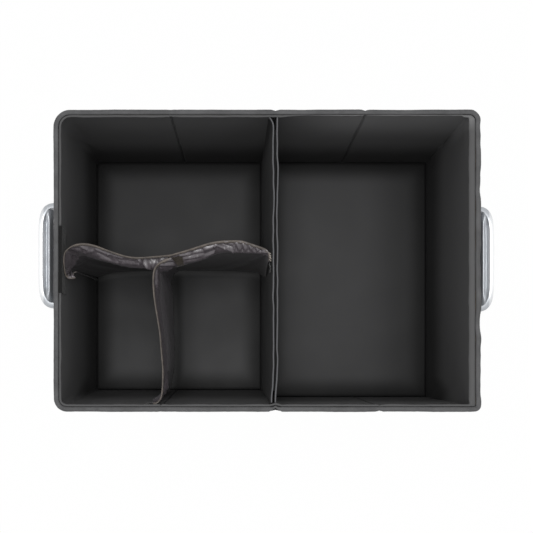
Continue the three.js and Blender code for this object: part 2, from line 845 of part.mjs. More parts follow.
function gripSection(count = 20) {
  const section = [];
  for (let i = 0; i < count; i++) {
    const angle = (i / count) * Math.PI * 2;
    const squared = (value) => Math.sign(value) * Math.abs(value) ** 0.55;
    const out = gripDepth / 2 * squared(Math.cos(angle));
    const flat = gripHeight / 2 * squared(Math.sin(angle));
    const groove = gripGroove * Math.exp(-((out / (gripDepth * 0.2)) ** 2)) * Math.sign(Math.sin(angle));
    section.push([out, Math.abs(Math.sin(angle)) > 0.3 ? flat - groove : flat]);
  }
  return section;
}

function gripGeometry() {
  const section = gripSection();
  const loops = gripPath().map(({ x, y, angle, inner }) => section.map(([out, up]) => {
    const reach = out > 0 ? out : out * inner;
    return [x + reach * Math.cos(angle), y + reach * Math.sin(angle), up];
  }));
  let solid = toSolid(skinLoops(loops, { outline: section }));
  for (const side of [-1, 1]) {
    solid = solid.add(toSolid(footGeometry(side)));
  }
  for (const hole of rivetHoles(layerGap - 1, footThickness + 2, rivetShankRadius + rivetPlay)) {
    solid = solid.subtract(toSolid(hole));
  }
  return toGeometry(solid);
}

function footGeometry(side) {
  const bevel = footThickness * 0.25;
  const shape = roundedPanel(footWidth - 2 * bevel, footHeight - 2 * bevel, footCornerRadius);
  const geometry = new THREE.ExtrudeGeometry(shape, {
    depth: footThickness - 2 * bevel,
    bevelThickness: bevel,
    bevelSize: bevel,
    bevelSegments: 1,
    curveSegments: 4,
  });
  geometry.rotateX(Math.PI / 2);
  geometry.rotateZ(Math.PI / 2);
  geometry.computeBoundingBox();
  const near = geometry.boundingBox.min.x;
  return geometry.translate(layerGap - near, side * footY, 0);
}

function rivetPlaces() {
  const places = [];
  for (const y of [-footY, footY]) {
    for (const z of [-rivetSpacing / 2, rivetSpacing / 2]) {
      places.push([y, z]);
    }
  }
  return places;
}

function rivetHoles(fromX, toX, radius) {
  return rivetPlaces().map(([y, z]) => {
    const hole = new THREE.CylinderGeometry(radius, radius, toX - fromX, 12);
    hole.rotateZ(Math.PI / 2);
    return hole.translate((fromX + toX) / 2, y, z);
  });
}

const plateNear = coverOuter - plateOuter;
const plateFar = coverOuter - plateInner;
const tailSeat = plateNear - plateWeb;

function plateGeometry() {
  const width = 2 * footY + footWidth;
  const shape = roundedPanel(width, rivetSpacing + 2 * plateMargin, footCornerRadius);
  const geometry = new THREE.ExtrudeGeometry(shape, {
    depth: plateThickness,
    bevelEnabled: false,
    curveSegments: 4,
  });
  geometry.rotateX(Math.PI / 2);
  geometry.rotateZ(Math.PI / 2);
  geometry.computeBoundingBox();
  geometry.translate(plateFar - geometry.boundingBox.min.x, 0, 0);
  const bores = rivetHoles(plateFar - 1, plateNear + 1, rivetShankRadius + rivetPlay);
  const recesses = rivetHoles(plateFar - 1, tailSeat, rivetTailRadius + rivetPlay);
  return cutAway(geometry, [...bores, ...recesses]);
}

function rivetGeometry() {
  const headSeat = footThickness + 2 * layerGap;
  const tail = tailSeat - layerGap;
  const profile = [
    [0, tail - rivetTailHeight],
    [rivetTailRadius, tail - rivetTailHeight],
    [rivetTailRadius, tail],
    [rivetShankRadius, tail],
    [rivetShankRadius, headSeat],
    [rivetHeadRadius, headSeat],
    [rivetHeadRadius * 0.92, headSeat + rivetHeadHeight * 0.45],
    [rivetHeadRadius * 0.6, headSeat + rivetHeadHeight * 0.85],
    [0, headSeat + rivetHeadHeight],
  ];
  const points = profile.map(([radius, height]) => new THREE.Vector2(radius, height));
  return new THREE.LatheGeometry(points, 12).rotateZ(-Math.PI / 2);
}

function addHandle(side) {
  const handle = new THREE.Group();
  const out = side === 'left' ? -1 : 1;
  handle.position.set(out * coverFaceX, side === 'left' ? leftGripY : rightGripY, gripZ);
  handle.rotation.z = side === 'left' ? Math.PI : 0;
  addPiece(`${side}_grip`, gripGeometry(), 'grip', handle);
  addPiece(`${side}_backing_plate`, plateGeometry(), 'steel', handle);
  rivetPlaces().forEach(([y, z], index) => {
    const rivet = addPiece(`${side}_rivet_${index + 1}`, rivetGeometry(), 'steel', handle);
    rivet.position.set(0, y, z);
  });
  organizer.add(handle);
}

// The rivet holes of one end, moved from the grip's frame into the box's

function endHoles(side) {
  const out = side === 'left' ? -1 : 1;
  return rivetHoles(coverOuter - plateOuter - 1, 1, rivetShankRadius + rivetPlay).map((hole) => {
    const placed = side === 'left' ? hole.rotateZ(Math.PI) : hole;
    return placed.translate(out * coverFaceX, side === 'left' ? leftGripY : rightGripY, gripZ);
  });
}

// Assembly

addPiece('outer_cover', coverGeometry([...endHoles('left'), ...endHoles('right')]), 'cover');
addPiece('bottom_panel', bottomPanelGeometry(), 'cover');
addPiece('rim_binding', bindingGeometry(), 'binding');
addPiece('lining', liningGeometry(), 'lining');

addSideBoards('back', backFolds, backLeftRadius, backRightRadius);
addSideBoards('front', frontFolds, frontLeftRadius, frontRightRadius);
const boardX = boxLength / 2 - (boardOuter + boardInner) / 2;
const endBoards = [
  ['left', -boardX, frontLeftRadius, backLeftRadius],
  ['right', boardX, frontRightRadius, backRightRadius],
];
for (const [side, x, frontRadius, backRadius] of endBoards) {
  const holes = endHoles(side).map((hole) => hole.translate(-x, 0, 0));
  const board = addPiece(`${side}_end_board`, endBoardGeometry(holes, frontRadius, backRadius), 'board');
  board.position.x = x;
}

addPiece('divider_sleeve', sleeveGeometry(), 'lining');
addPiece('divider_board', dividerBoardGeometry(), 'lining');

const boardBack = boxWidth / 2 - sideFace - baseBoardPlay;
const boardFront = -boxWidth / 2 + sideFace + baseBoardPlay;
const leftTurn = (leftFace + sideFace) / 2;
const rightTurn = (rightFace + sideFace) / 2;
addBaseBoard('left_base_board', {
  left: leftFaceX() + baseBoardPlay,
  right: dividerLeftFace(baseBoardZ) - baseBoardPlay,
  front: boardFront + frontLeftToeIn,
  back: boardBack,
  corners: [
    innerRadius(frontLeftRadius, leftTurn), tightestCorner,
    tightestCorner, innerRadius(backLeftRadius, leftTurn),
  ],
});
addBaseBoard('right_base_board', {
  left: dividerRightFace(baseBoardTop) + baseBoardPlay,
  right: boxLength / 2 - rightFace - baseBoardPlay,
  front: boardFront,
  back: boardBack,
  corners: [
    notchHalfWidth, innerRadius(frontRightRadius, rightTurn),
    innerRadius(backRightRadius, rightTurn), tightestCorner,
  ],
});

const crossCloth = crossDividerCloth();
const shortCloth = shortDividerCloth(crossCloth);
addPiece('cross_divider', clothSheet(crossCloth, { thickness: clothThickness }), 'cloth');
addPiece('cross_divider_edge_tape', edgeTapeGeometry(crossCloth), 'edgeTape');
addPiece('short_divider', clothSheet(shortCloth, { thickness: clothThickness }), 'cloth');
addPiece('short_divider_edge_tape', edgeTapeGeometry(shortCloth), 'edgeTape');

addPiece('left_wall_loop_strip', wallStripGeometry(), 'tape');
const leftFlapEnd = crossDividerY - crossLeftFlap;
const rightFlapEnd = crossDividerY - crossRightFlap;
const flapRoot = crossDividerY - flapTurn;
const frontFlapEnd = shortCloth.pointAt(1, 1).x;
const frontFlapRoot = frontFlapEnd + shortFrontFlap;
const [patchFrom, patchTo] = [junctionShares[4], junctionShares[0]];
addPiece('divider_loop_strip', tapeOnDivider(0, rightFlapEnd - stripMargin, flapRoot), 'tape');
addPiece('cross_right_hook_tape', tapeOnDivider(1, rightFlapEnd + hookMargin, flapRoot - hookMargin), 'tape');
addPiece('cross_left_hook_tape', hookOnLeftWall(leftFlapEnd + hookMargin, flapRoot - hookMargin), 'tape');
const frontStripLeft = frontFlapEnd - stripMargin;
addPiece('front_wall_loop_strip', tapeOnFrontWall(0, frontStripLeft, frontFlapRoot), 'tape');
const frontHook = tapeOnFrontWall(1, frontFlapEnd + hookMargin, frontFlapRoot - 2 * hookMargin);
addPiece('short_front_hook_tape', frontHook, 'tape');
addPiece('cross_divider_loop_patch', tapeOnCloth(crossCloth, patchFrom - 0.01, patchTo + 0.055, 0), 'tape');
addPiece('short_back_hook_tape', tapeOnCloth(crossCloth, patchFrom + 0.02, patchTo - 0.005, 1), 'tape');

addHandle('left');
addHandle('right');

export default organizer;
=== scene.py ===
# %% [markdown]
# # A folding trunk organizer, seen from straight above
#
# The real thing is a soft box. Thin boards are sewn between an outer cover and a lining, a ribbed
# tape binds the top edge, a sleeve with a board in it parts the box in two, and two loose cloth
# dividers hang in the left half from hook-and-loop tapes. A silver grip is riveted to each end.
#
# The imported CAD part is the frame: it says where everything is. Each soft layer is then made again
# over its CAD solid, with the folds, hems, stitches and weave that cloth has.

import math

import bmesh
import bpy
import numpy as np
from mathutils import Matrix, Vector


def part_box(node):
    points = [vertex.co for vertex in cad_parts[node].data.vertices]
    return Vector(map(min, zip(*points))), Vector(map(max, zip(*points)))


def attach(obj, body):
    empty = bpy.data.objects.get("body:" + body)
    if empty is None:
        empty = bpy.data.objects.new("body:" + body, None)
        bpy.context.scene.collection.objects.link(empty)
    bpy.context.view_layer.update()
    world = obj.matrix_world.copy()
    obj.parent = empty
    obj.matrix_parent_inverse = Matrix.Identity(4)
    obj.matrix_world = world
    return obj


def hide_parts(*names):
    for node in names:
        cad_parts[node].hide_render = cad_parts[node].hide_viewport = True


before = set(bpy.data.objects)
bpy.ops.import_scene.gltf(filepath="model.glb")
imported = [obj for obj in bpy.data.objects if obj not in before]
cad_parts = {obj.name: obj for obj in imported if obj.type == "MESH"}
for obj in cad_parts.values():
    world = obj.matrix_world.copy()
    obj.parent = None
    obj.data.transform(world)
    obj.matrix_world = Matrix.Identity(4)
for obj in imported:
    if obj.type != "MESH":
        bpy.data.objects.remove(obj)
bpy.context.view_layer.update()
scene = bpy.context.scene
scene.view_settings.view_transform = "Standard"
MM = 0.001

# %% [markdown]
# ## Camera
# The photo looks straight down, and the box's four rim edges stay square in it, so the camera isn't
# tilted. Its walls lean away from a point left of and below the picture's middle. A lens with a
# small shift gives exactly that: the camera hangs over this point and only the frame slides.

# %% Camera
rim_low, rim_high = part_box("rim_binding")
CAMERA_OVER = (-28 * MM, -123 * MM)
CAMERA_ABOVE_RIM = 1052 * MM

camera_data = bpy.data.cameras.new("camera")
camera_data.sensor_width = 36
camera_data.lens = 56.3
camera_data.shift_x = 0.0403
camera_data.shift_y = 0.1717
camera = bpy.data.objects.new("camera", camera_data)
camera.location = (*CAMERA_OVER, rim_high.z + CAMERA_ABOVE_RIM)
scene.collection.objects.link(camera)
scene.camera = camera
print("camera height in mm:", round(camera.location.z / MM))

# %% [markdown]
# ## Meshes from rows of points
# Nearly every layer of the box is a skin over rows of points: rings round the walls, or rows along a
# sheet. One helper turns such rows into faces, and also writes a UV map in metres, so that a weave
# keeps its real size and follows the cloth round the corners.

# %% Rows of points to a mesh
def skin(name, rows, along=None, closed=False, ring=False, caps=None):
    """Faces over rows of equal length, with a UV map in metres. closed joins each row's ends and ring
    joins the last row to the first. caps fills the open ends: "fan" from a centre point, or "pairs"
    for a row that runs out along a thick line and back."""
    rows = np.asarray(rows, float)
    count, width = rows.shape[:2]
    points = rows.reshape(-1, 3)
    stepped = np.vstack([rows, rows[:1]])
    across = np.concatenate([[0], np.cumsum(np.linalg.norm(np.diff(stepped, axis=0), axis=2).mean(1))])
    if along is None:
        along = lengths(rows[0], closed=True)
    faces, uvs = [], []
    for i in range(count if ring else count - 1):
        below, above = i * width, ((i + 1) % count) * width
        for j in range(width if closed else width - 1):
            k = (j + 1) % width
            faces.append((below + j, below + k, above + k, above + j))
            low, high = across[i], across[i + 1]
            uvs += [(along[j], low), (along[j + 1], low), (along[j + 1], high), (along[j], high)]
    for row, turn in ((0, -1), (count - 1, 1)) if caps else ():
        start = row * width
        if caps == "fan":
            points = np.vstack([points, rows[row].mean(0)])
            added = [(start + j, start + (j + 1) % width, len(points) - 1) for j in range(width)]
        else:
            added = [(start + j, start + j + 1, start + width - 2 - j, start + width - 1 - j)
                     for j in range(width // 2 - 1)]
        for face in added:
            faces.append(face[::turn])
            uvs += [(points[index][0], points[index][1] + points[index][2]) for index in face[::turn]]
    mesh = bpy.data.meshes.new(name)
    mesh.from_pydata(points.tolist(), [], faces)
    layer = mesh.uv_layers.new(name="cloth")
    layer.data.foreach_set("uv", np.asarray(uvs, float).ravel())
    mesh.shade_smooth()
    piece = bpy.data.objects.new(name, mesh)
    scene.collection.objects.link(piece)
    return piece


def lengths(points, closed=False):
    """How far along a line each of its points is."""
    points = np.asarray(points, float)
    if closed:
        points = np.vstack([points, points[:1]])
    steps = np.linalg.norm(np.diff(points, axis=0), axis=1)
    return np.concatenate([[0], np.cumsum(steps)])


def smooth_step(value, start, end):
    share = np.clip((np.asarray(value, float) - start) / (end - start), 0, 1)
    return share * share * (3 - 2 * share)


def waves(along, seed, sizes):
    """A smooth wander from a few sine waves. sizes is a list of (wavelength, height)."""
    draw = np.random.default_rng(seed)
    total = np.zeros_like(np.asarray(along, float))
    for wavelength, height in sizes:
        for stretch in (1.0, 1.37, 0.71):
            phase = draw.uniform(0, 2 * math.pi)
            total += height / 2 * np.sin(2 * math.pi * np.asarray(along) / (wavelength * stretch) + phase)
    return total


# %% [markdown]
# ## The plan of the box
# All the layers share one plan: a rectangle with four different corner radii, as the photo shows.
# Columns are set out once, close together at the fold lines, and each ring puts them at its own
# height and inset. So all rings match column by column, and a fold is a small push on a few columns.

# %% Columns round the plan
RADII = {"front_right": 7 * MM, "back_right": 14 * MM, "back_left": 21 * MM, "front_left": 17 * MM}
CORNER_ROOM = 10 * MM
CORNER_STEPS = 15
COLUMN_STEP = 4.2 * MM
FOLDS_BACK = (-122 * MM, 124 * MM)
FOLDS_FRONT = (-135 * MM, 142 * MM)
DIVIDER_TOP_X = 10.5 * MM
DIVIDER_LEAN = 9 * MM


def divider_x(z):
    return DIVIDER_TOP_X - DIVIDER_LEAN * (1 - np.asarray(z) / rim_high.z)


def side_columns(start, end, dense_at):
    """Places along one side, closer together round each fold."""
    even = np.linspace(start, end, int(abs(end - start) / COLUMN_STEP) + 1)
    near = np.arange(-9, 9.01, 0.75) * MM
    for place in dense_at:
        even = even[np.abs(even - place) > 9.5 * MM]
        even = np.concatenate([even, place + near])
    return np.sort(even) if end > start else np.sort(even)[::-1]


reach = {corner: radius + CORNER_ROOM for corner, radius in RADII.items()}
low_x, low_y, high_x, high_y = rim_low.x, rim_low.y, rim_high.x, rim_high.y
sides = [
    ("front", side_columns(low_x + reach["front_left"], high_x - reach["front_right"],
                           (*FOLDS_FRONT, DIVIDER_TOP_X)), "front_right"),
    ("right", side_columns(low_y + reach["front_right"], high_y - reach["back_right"], ()), "back_right"),
    ("back", side_columns(high_x - reach["back_right"], low_x + reach["back_left"],
                          (*FOLDS_BACK, DIVIDER_TOP_X)), "back_left"),
    ("left", side_columns(high_y - reach["back_left"], low_y + reach["front_left"], ()), "front_left"),
]
column_side = []
for side_name, places, corner_name in sides:
    column_side += [side_name] * len(places) + [corner_name] * CORNER_STEPS
column_side = np.array(column_side)
print("columns round the box:", len(column_side))


# %% [markdown]
# ## Rings at any height and inset
# A layer further in has tighter corners, so a corner is worked out again for each inset, from the room
# that its two sides leave. Scaling one ring would be shorter, but would move the fold lines too.

# %% Rings at any height and inset
def corner_path(start, first, second, legs, radius):
    """Points of one corner between two straight sides, and the outward direction at each."""
    points, outward = [], []
    radius = min(radius, legs[0] * 0.98, legs[1] * 0.98)
    turn_centre = start + first * (legs[0] - radius) + second * radius
    for step in range(CORNER_STEPS):
        share = (step + 1) / (CORNER_STEPS + 1)
        if share < 0.15:
            points.append(start + first * (legs[0] - radius) * share / 0.15)
            outward.append(-second)
        elif share > 0.85:
            points.append(start + first * legs[0]
                          + second * (radius + (legs[1] - radius) * (share - 0.85) / 0.15))
            outward.append(first)
        else:
            angle = (share - 0.15) / 0.7 * math.pi / 2
            direction = first * math.sin(angle) - second * math.cos(angle)
            points.append(turn_centre + direction * radius)
            outward.append(direction)
    return points, outward


def plan(inset, sharper=0.0):
    """One ring round the box. inset is one number, or left, right, front and back.
    sharper takes this much off each corner's radius."""
    left, right, front, back = np.broadcast_to(np.asarray(inset, float), 4)
    x0, x1, y0, y1 = low_x + left, high_x - right, low_y + front, high_y - back
    east, north = np.array([1.0, 0.0]), np.array([0.0, 1.0])
    faces = {
        "front": (lambda s: (s, y0), east, -north, (front, right)),
        "right": (lambda s: (x1, s), north, east, (right, back)),
        "back": (lambda s: (s, y1), -east, north, (back, left)),
        "left": (lambda s: (x0, s), -north, -east, (left, front)),
    }
    points, outward = [], []
    for side_name, places, corner_name in sides:
        place_of, forward, out, (own, next_inset) = faces[side_name]
        points += [place_of(s) for s in places]
        outward += [out] * len(places)
        legs = (reach[corner_name] - next_inset, reach[corner_name] - own)
        radius = max(RADII[corner_name] - (own + next_inset) / 2 - sharper, 1.5 * MM)
        more, more_out = corner_path(np.array(place_of(places[-1])), forward, -out, legs, radius)
        points += more
        outward += more_out
    return np.array(points), np.array(outward)


rim_plan = plan(0)[0]
rim_along = lengths(rim_plan, closed=True)
side_along = rim_along[:-1]
on_front, on_back, on_right = (column_side == side_name for side_name in ("front", "back", "right"))
fold_lines = [(on_side, place) for on_side, folds in ((on_front, FOLDS_FRONT), (on_back, FOLDS_BACK))
              for place in folds]
sewn_lines = [(on_side, place) for on_side, folds in ((on_front, FOLDS_FRONT), (on_back, FOLDS_BACK))
              for place in (*folds, DIVIDER_TOP_X)]
print("length round the rim in mm:", round(rim_along[-1] / MM))


def fold_push(on_side, place, half, sharpness=1.2):
    """1 at a fold line and 0 past half on each side of it."""
    near = np.clip(1 - np.abs(rim_plan[:, 0] - place) / half, 0, 1) ** sharpness
    return np.where(on_side, near, 0)


def ring(inset, z, push=0.0, sharper=0.0):
    """A ring of 3-D points. push moves each column outward."""
    flat, outward = plan(inset, sharper)
    flat = flat + outward * np.asarray(push)[..., None] if np.ndim(push) else flat + outward * push
    return np.column_stack([flat, np.broadcast_to(z, len(flat))])


# %% [markdown]
# ## How a finish is made
# A finish here is a Principled shader with small nodes before it: noise for the slow colour changes
# that every dyed cloth has, and a height pattern for the thread, the rib or the pile. The weave reads
# the UV map in metres. What is the same all over is written straight on the shader.

# %% Shader and nodes
def new_finish(name, roughness, metallic=0.0, sheen=0.0, specular=0.5, colour=(0.8, 0.8, 0.8)):
    """A material and its shader, with what is the same all over written on it."""
    material = bpy.data.materials.new(name)
    material.use_nodes = True
    shader = material.node_tree.nodes["Principled BSDF"]
    plain = {"Base Color": (*colour, 1), "Roughness": roughness, "Metallic": metallic,
             "Specular IOR Level": specular, "Sheen Weight": sheen, "Sheen Roughness": 0.4}
    for socket, value in plain.items():
        shader.inputs[socket].default_value = value
    return material, shader


def tree_node(tree, kind, inputs=None, **settings):
    """A node with its settings and inputs; an input may be another node's socket."""
    made = tree.nodes.new(kind)
    for key, value in settings.items():
        setattr(made, key, value)
    for key, value in (inputs or {}).items():
        if isinstance(value, bpy.types.NodeSocket):
            tree.links.new(value, made.inputs[key])
        else:
            made.inputs[key].default_value = value
    return made


def node(owner, kind, inputs=None, **settings):
    """The same for the tree of a material or the world."""
    return tree_node(owner.node_tree, kind, inputs, **settings)


def join(owner, value, socket):
    owner.node_tree.links.new(value, socket)


def paint(material, shader, colour, roughness=None):
    """Links a colour, and a roughness if there is one, to the shader."""
    join(material, colour, shader.inputs["Base Color"])
    if roughness is not None:
        join(material, roughness, shader.inputs["Roughness"])


def raised(material, shader, height, depth, strength=1.0, under=None):
    """Bump from a height, over another bump if one is given."""
    inputs = {"Height": height, "Distance": depth, "Strength": strength}
    if under is not None:
        inputs["Normal"] = under
    normal = node(material, "ShaderNodeBump", inputs).outputs["Normal"]
    join(material, normal, shader.inputs["Normal"])
    return normal


# %% [markdown]
# ## Patterns
# Each pattern below is one number for every place: noise, a wave along the thread, or a place mapped
# to a share. Two colours are then blended by it.

# %% Patterns
def maths(owner, operation, first, second=0.0):
    return node(owner, "ShaderNodeMath", {0: first, 1: second}, operation=operation).outputs[0]


def weighed(material, first, first_weight, second, second_weight):
    """The sum of two patterns, each with its weight."""
    return maths(material, "ADD", maths(material, "MULTIPLY", first, first_weight),
                 maths(material, "MULTIPLY", second, second_weight))


def between(owner, share, low, high, start=0.35, end=0.65, kind="LINEAR"):
    """Maps a share or a place to numbers from low to high."""
    return node(owner, "ShaderNodeMapRange", {
        "Value": share, "From Min": start, "From Max": end, "To Min": low, "To Max": high,
    }, interpolation_type=kind).outputs["Result"]


def noise_at(material, size, detail=3.0, stretch=(1, 1, 1), where=None):
    """Noise whose blobs are about size metres, on object coordinates or on where."""
    if where is None:
        where = node(material, "ShaderNodeTexCoord").outputs["Object"]
    placed = node(material, "ShaderNodeMapping", {"Vector": where, "Scale": stretch})
    made = node(material, "ShaderNodeTexNoise", {
        "Vector": placed.outputs["Vector"], "Scale": 1 / size, "Detail": detail, "Roughness": 0.55})
    return made.outputs["Fac"]


def object_place(material):
    """X, Y and Z in the object's own coordinates, in metres."""
    place = node(material, "ShaderNodeTexCoord").outputs["Object"]
    return node(material, "ShaderNodeSeparateXYZ", {"Vector": place}).outputs


def cloth_place(material):
    return node(material, "ShaderNodeUVMap", uv_map="cloth").outputs["UV"]


def cloth_axes(material):
    """How far along the cloth and how far across it a point is, in metres."""
    split = node(material, "ShaderNodeSeparateXYZ", {"Vector": cloth_place(material)}).outputs
    return split["X"], split["Y"]


def thread_wave(material, place, pitch):
    """A sine along a cloth direction, one full wave for each two pitches."""
    return maths(material, "SINE", maths(material, "MULTIPLY", place, math.pi / pitch))


def blended(material, share, low, high):
    """A colour between low and high, each a socket or three numbers."""
    ends = [end if isinstance(end, bpy.types.NodeSocket) else (*end, 1) for end in (low, high)]
    made = node(material, "ShaderNodeMix", {"Factor": share, "A": ends[0], "B": ends[1]}, data_type="RGBA")
    return made.outputs["Result"]


def shades(colour, spread):
    """A darker and a lighter version of a colour."""
    return tuple(c * (1 - spread) for c in colour), tuple(c * (1 + spread) for c in colour)


# %% [markdown]
# ## Cover and binding cloth
# The cover is a plain weave with a thread of about 0.6 mm, and the binding is a ribbed tape. A photo
# of cloth could be laid over the mesh, but a weave made of two sine waves stays sharp at any distance.
# Larger noise under it gives the slack and the pucker that sewn cloth has.

# %% Cover and binding cloth
COVER_THREAD = 0.62 * MM
BINDING_RIB = 0.5 * MM


def cover_cloth():
    material, shader = new_finish("woven_cover", 0.82, sheen=0.08)
    along, up = cloth_axes(material)
    weave = maths(material, "MULTIPLY", thread_wave(material, along, COVER_THREAD),
                  thread_wave(material, up, COVER_THREAD))
    share = between(material, weighed(material, noise_at(material, 60 * MM), 1, weave, 0.12), 0, 1)
    paint(material, shader, blended(material, share, *shades((0.021, 0.021, 0.0225), 0.28)),
          between(material, noise_at(material, 14 * MM), 0.74, 0.9))
    slack = raised(material, shader, noise_at(material, 22 * MM, 2), 0.5 * MM, 0.6)
    raised(material, shader, weave, 0.11 * MM, 0.8, under=slack)
    return material


def binding_tape():
    material, shader = new_finish("ribbed_binding", 0.62, sheen=0.1)
    rib = thread_wave(material, cloth_axes(material)[0], BINDING_RIB)
    share = between(material, weighed(material, noise_at(material, 25 * MM), 1, rib, 0.06), 0, 1)
    paint(material, shader, blended(material, share, *shades((0.066, 0.066, 0.068), 0.2)),
          between(material, noise_at(material, 6 * MM), 0.55, 0.72))
    pucker = raised(material, shader, noise_at(material, 5 * MM, 2), 0.35 * MM, 0.7)
    raised(material, shader, rib, 0.08 * MM, 0.8, under=pucker)
    return material


woven_cover = cover_cloth()
ribbed_binding = binding_tape()
print("cover and binding:", woven_cover.name, ribbed_binding.name)

# %% [markdown]
# ## Lining cloth
# The lining is smooth and pressed. Shade is painted into its colour: it is painted darker towards the
# foot of the walls and along the edges of each base board, so it is lightest at the tops of the walls and in
# the middle of each base board. Light is painted on the right half's back wall and on the fixed divider's
# rolled tops. Each place is worked out from object coordinates, so the painted shade and light stay where
# they are from any side.

# %% Lining cloth
def pressed_lining(name, colour, roughness, unshaded, shaded_share=0.07, painted_light=None):
    """Smooth cloth with painted shade and painted light in its colour. The fourth argument, a function of the
    material, gives the share of its full colour; where it is 0 only the share given fifth is left, as painted
    shade. The sixth, if given, makes some places lighter, as painted light."""
    material, shader = new_finish(name, roughness, sheen=0.025, specular=0.12)
    cloud = between(material, noise_at(material, 130 * MM, 2), 0, 1, 0.25, 0.75)
    full = blended(material, cloud, *shades(colour, 0.02))
    # Painted shade: the colour is darkened where the shade share falls towards 0.
    seen = blended(material, unshaded(material), [c * shaded_share for c in colour], full)
    # Painted light: some places are made lighter.
    if painted_light:
        seen = node(material, "ShaderNodeVectorMath", {0: seen, "Scale": painted_light(material)},
                    operation="SCALE").outputs[0]
    paint(material, shader, seen,
          between(material, noise_at(material, 60 * MM, 2), roughness - 0.02, roughness + 0.02))
    raised(material, shader, noise_at(material, 0.7 * MM, 2), 0.05 * MM, 0.4)
    return material


def shade_towards_foot(material):
    """Painted shade: the lining keeps its full colour high on the walls and is painted darker towards the
    foot. On the front wall the painted shade reaches higher."""
    place = object_place(material)
    front = between(material, place["Y"], 45 * MM, 0, -168 * MM, -150 * MM)
    height = maths(material, "SUBTRACT", place["Z"], front)
    return between(material, height, 0, 1, 40 * MM, 130 * MM, "SMOOTHSTEP")


def painted_light_on_back(material):
    """Painted light: the back wall of the right half is painted lighter towards its top."""
    place = object_place(material)
    top = between(material, place["Z"], 0, 0.75, 130 * MM, 225 * MM, "SMOOTHSTEP")
    back = between(material, place["Y"], 0, 1, 165 * MM, 178 * MM)
    right = between(material, place["X"], 0, 1, 10 * MM, 110 * MM, "SMOOTHSTEP")
    lighter = maths(material, "MULTIPLY", top, maths(material, "MULTIPLY", back, right))
    return maths(material, "ADD", 1, lighter)


def painted_roll_highlight(material):
    """Painted highlight: the rolled top edges of the fixed divider are painted up to eleven times lighter."""
    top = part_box("divider_sleeve")[1].z
    return between(material, object_place(material)["Z"], 1, 11, top - 1.4 * MM, top - 0.4 * MM, "SMOOTHSTEP")


# The walls get painted shade towards the foot and painted light on the right half's back wall. The sleeve
# gets a far darker copy of the lining's colour, as painted shade, with painted highlights on its rolled tops.
wall_lining = pressed_lining("pressed_lining", (0.088, 0.088, 0.089), 0.55, shade_towards_foot, 0.22, painted_light_on_back)
sleeve_lining = pressed_lining("sleeve_lining", (0.0105, 0.0105, 0.011), 0.66, shade_towards_foot, 0.5, painted_roll_highlight)
print("lining:", wall_lining.name, sleeve_lining.name)

# %% [markdown]
# ## Cloth of the base boards
# Shade is painted into the boards' cloth: a board is painted darker along its edges and towards one end, and
# the left one also below the cloth dividers. The distance to the nearest edge, rounded off where two edges
# meet, gives this without a painted picture.

# %% Cloth of the base boards
CROSS_DIVIDER_Y = 16 * MM
CROSS_DIVIDER_FRONT = 10 * MM
SHORT_DIVIDER_X = -137 * MM


def painted_shadow_below_dividers(material, x, y):
    """Twice the distance from the line below each cloth divider, where a shadow is painted. The short one's
    line ends at the long one's."""
    from_cross = maths(material, "ABSOLUTE", maths(material, "SUBTRACT", y, CROSS_DIVIDER_Y))
    from_short = maths(material, "ABSOLUTE", maths(material, "SUBTRACT", x, SHORT_DIVIDER_X))
    past_cross = maths(material, "MULTIPLY", maths(material, "SUBTRACT", y, CROSS_DIVIDER_FRONT), 3)
    return [maths(material, "MULTIPLY", from_cross, 2),
            maths(material, "MAXIMUM", maths(material, "MULTIPLY", from_short, 2), past_cross)]


def painted_board_shade(node_name, axis, start, end, least):
    """Painted shade: a base board keeps its full colour in its middle and is painted darker along its edges,
    and along one axis from start to end, down to its least share. The left one also gets a painted shadow
    below the cloth dividers."""
    low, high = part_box(node_name)

    def share(material):
        place = object_place(material)
        x, y = place["X"], place["Y"]
        gaps = [maths(material, "SUBTRACT", x, low.x), maths(material, "SUBTRACT", high.x, x),
                maths(material, "SUBTRACT", y, low.y), maths(material, "SUBTRACT", high.y, y)]
        if node_name == "left_base_board":
            gaps += painted_shadow_below_dividers(material, x, y)
        nearest = gaps[0]
        for gap in gaps[1:]:
            nearest = node(material, "ShaderNodeMath", {0: nearest, 1: gap, 2: 16 * MM},
                           operation="SMOOTH_MIN").outputs[0]
        middle = between(material, nearest, 0, 1, 4 * MM, 36 * MM, "SMOOTHSTEP")
        fade = between(material, place[axis], 1, least, start, end, "SMOOTHSTEP")
        return maths(material, "MULTIPLY", middle, fade)

    return share


# The boards' cloth is the walls' lining cloth with a darker colour, as painted shade, besides the shade
# painted along its edges.
left_base_cloth = pressed_lining("left_base_board_cloth", (0.056, 0.056, 0.057), 0.48,
                                 painted_board_shade("left_base_board", "Y", -140 * MM, -60 * MM, 0.62))
right_base_cloth = pressed_lining("right_base_board_cloth", (0.05, 0.05, 0.051), 0.48,
                                  painted_board_shade("right_base_board", "X", 150 * MM, 230 * MM, 0.5))
print("base cloths:", left_base_cloth.name, right_base_cloth.name)

# %% [markdown]
# ## Divider cloth
# The loose dividers are a thin shiny satin. Its creases catch the light, and fine streaks run down the
# thread. Above the fold its colour is painted light; below the fold it is duller and painted darker, as
# painted shade. The UV map says how far down the sheet a point is, which is what both the streaks and the
# fold go by.

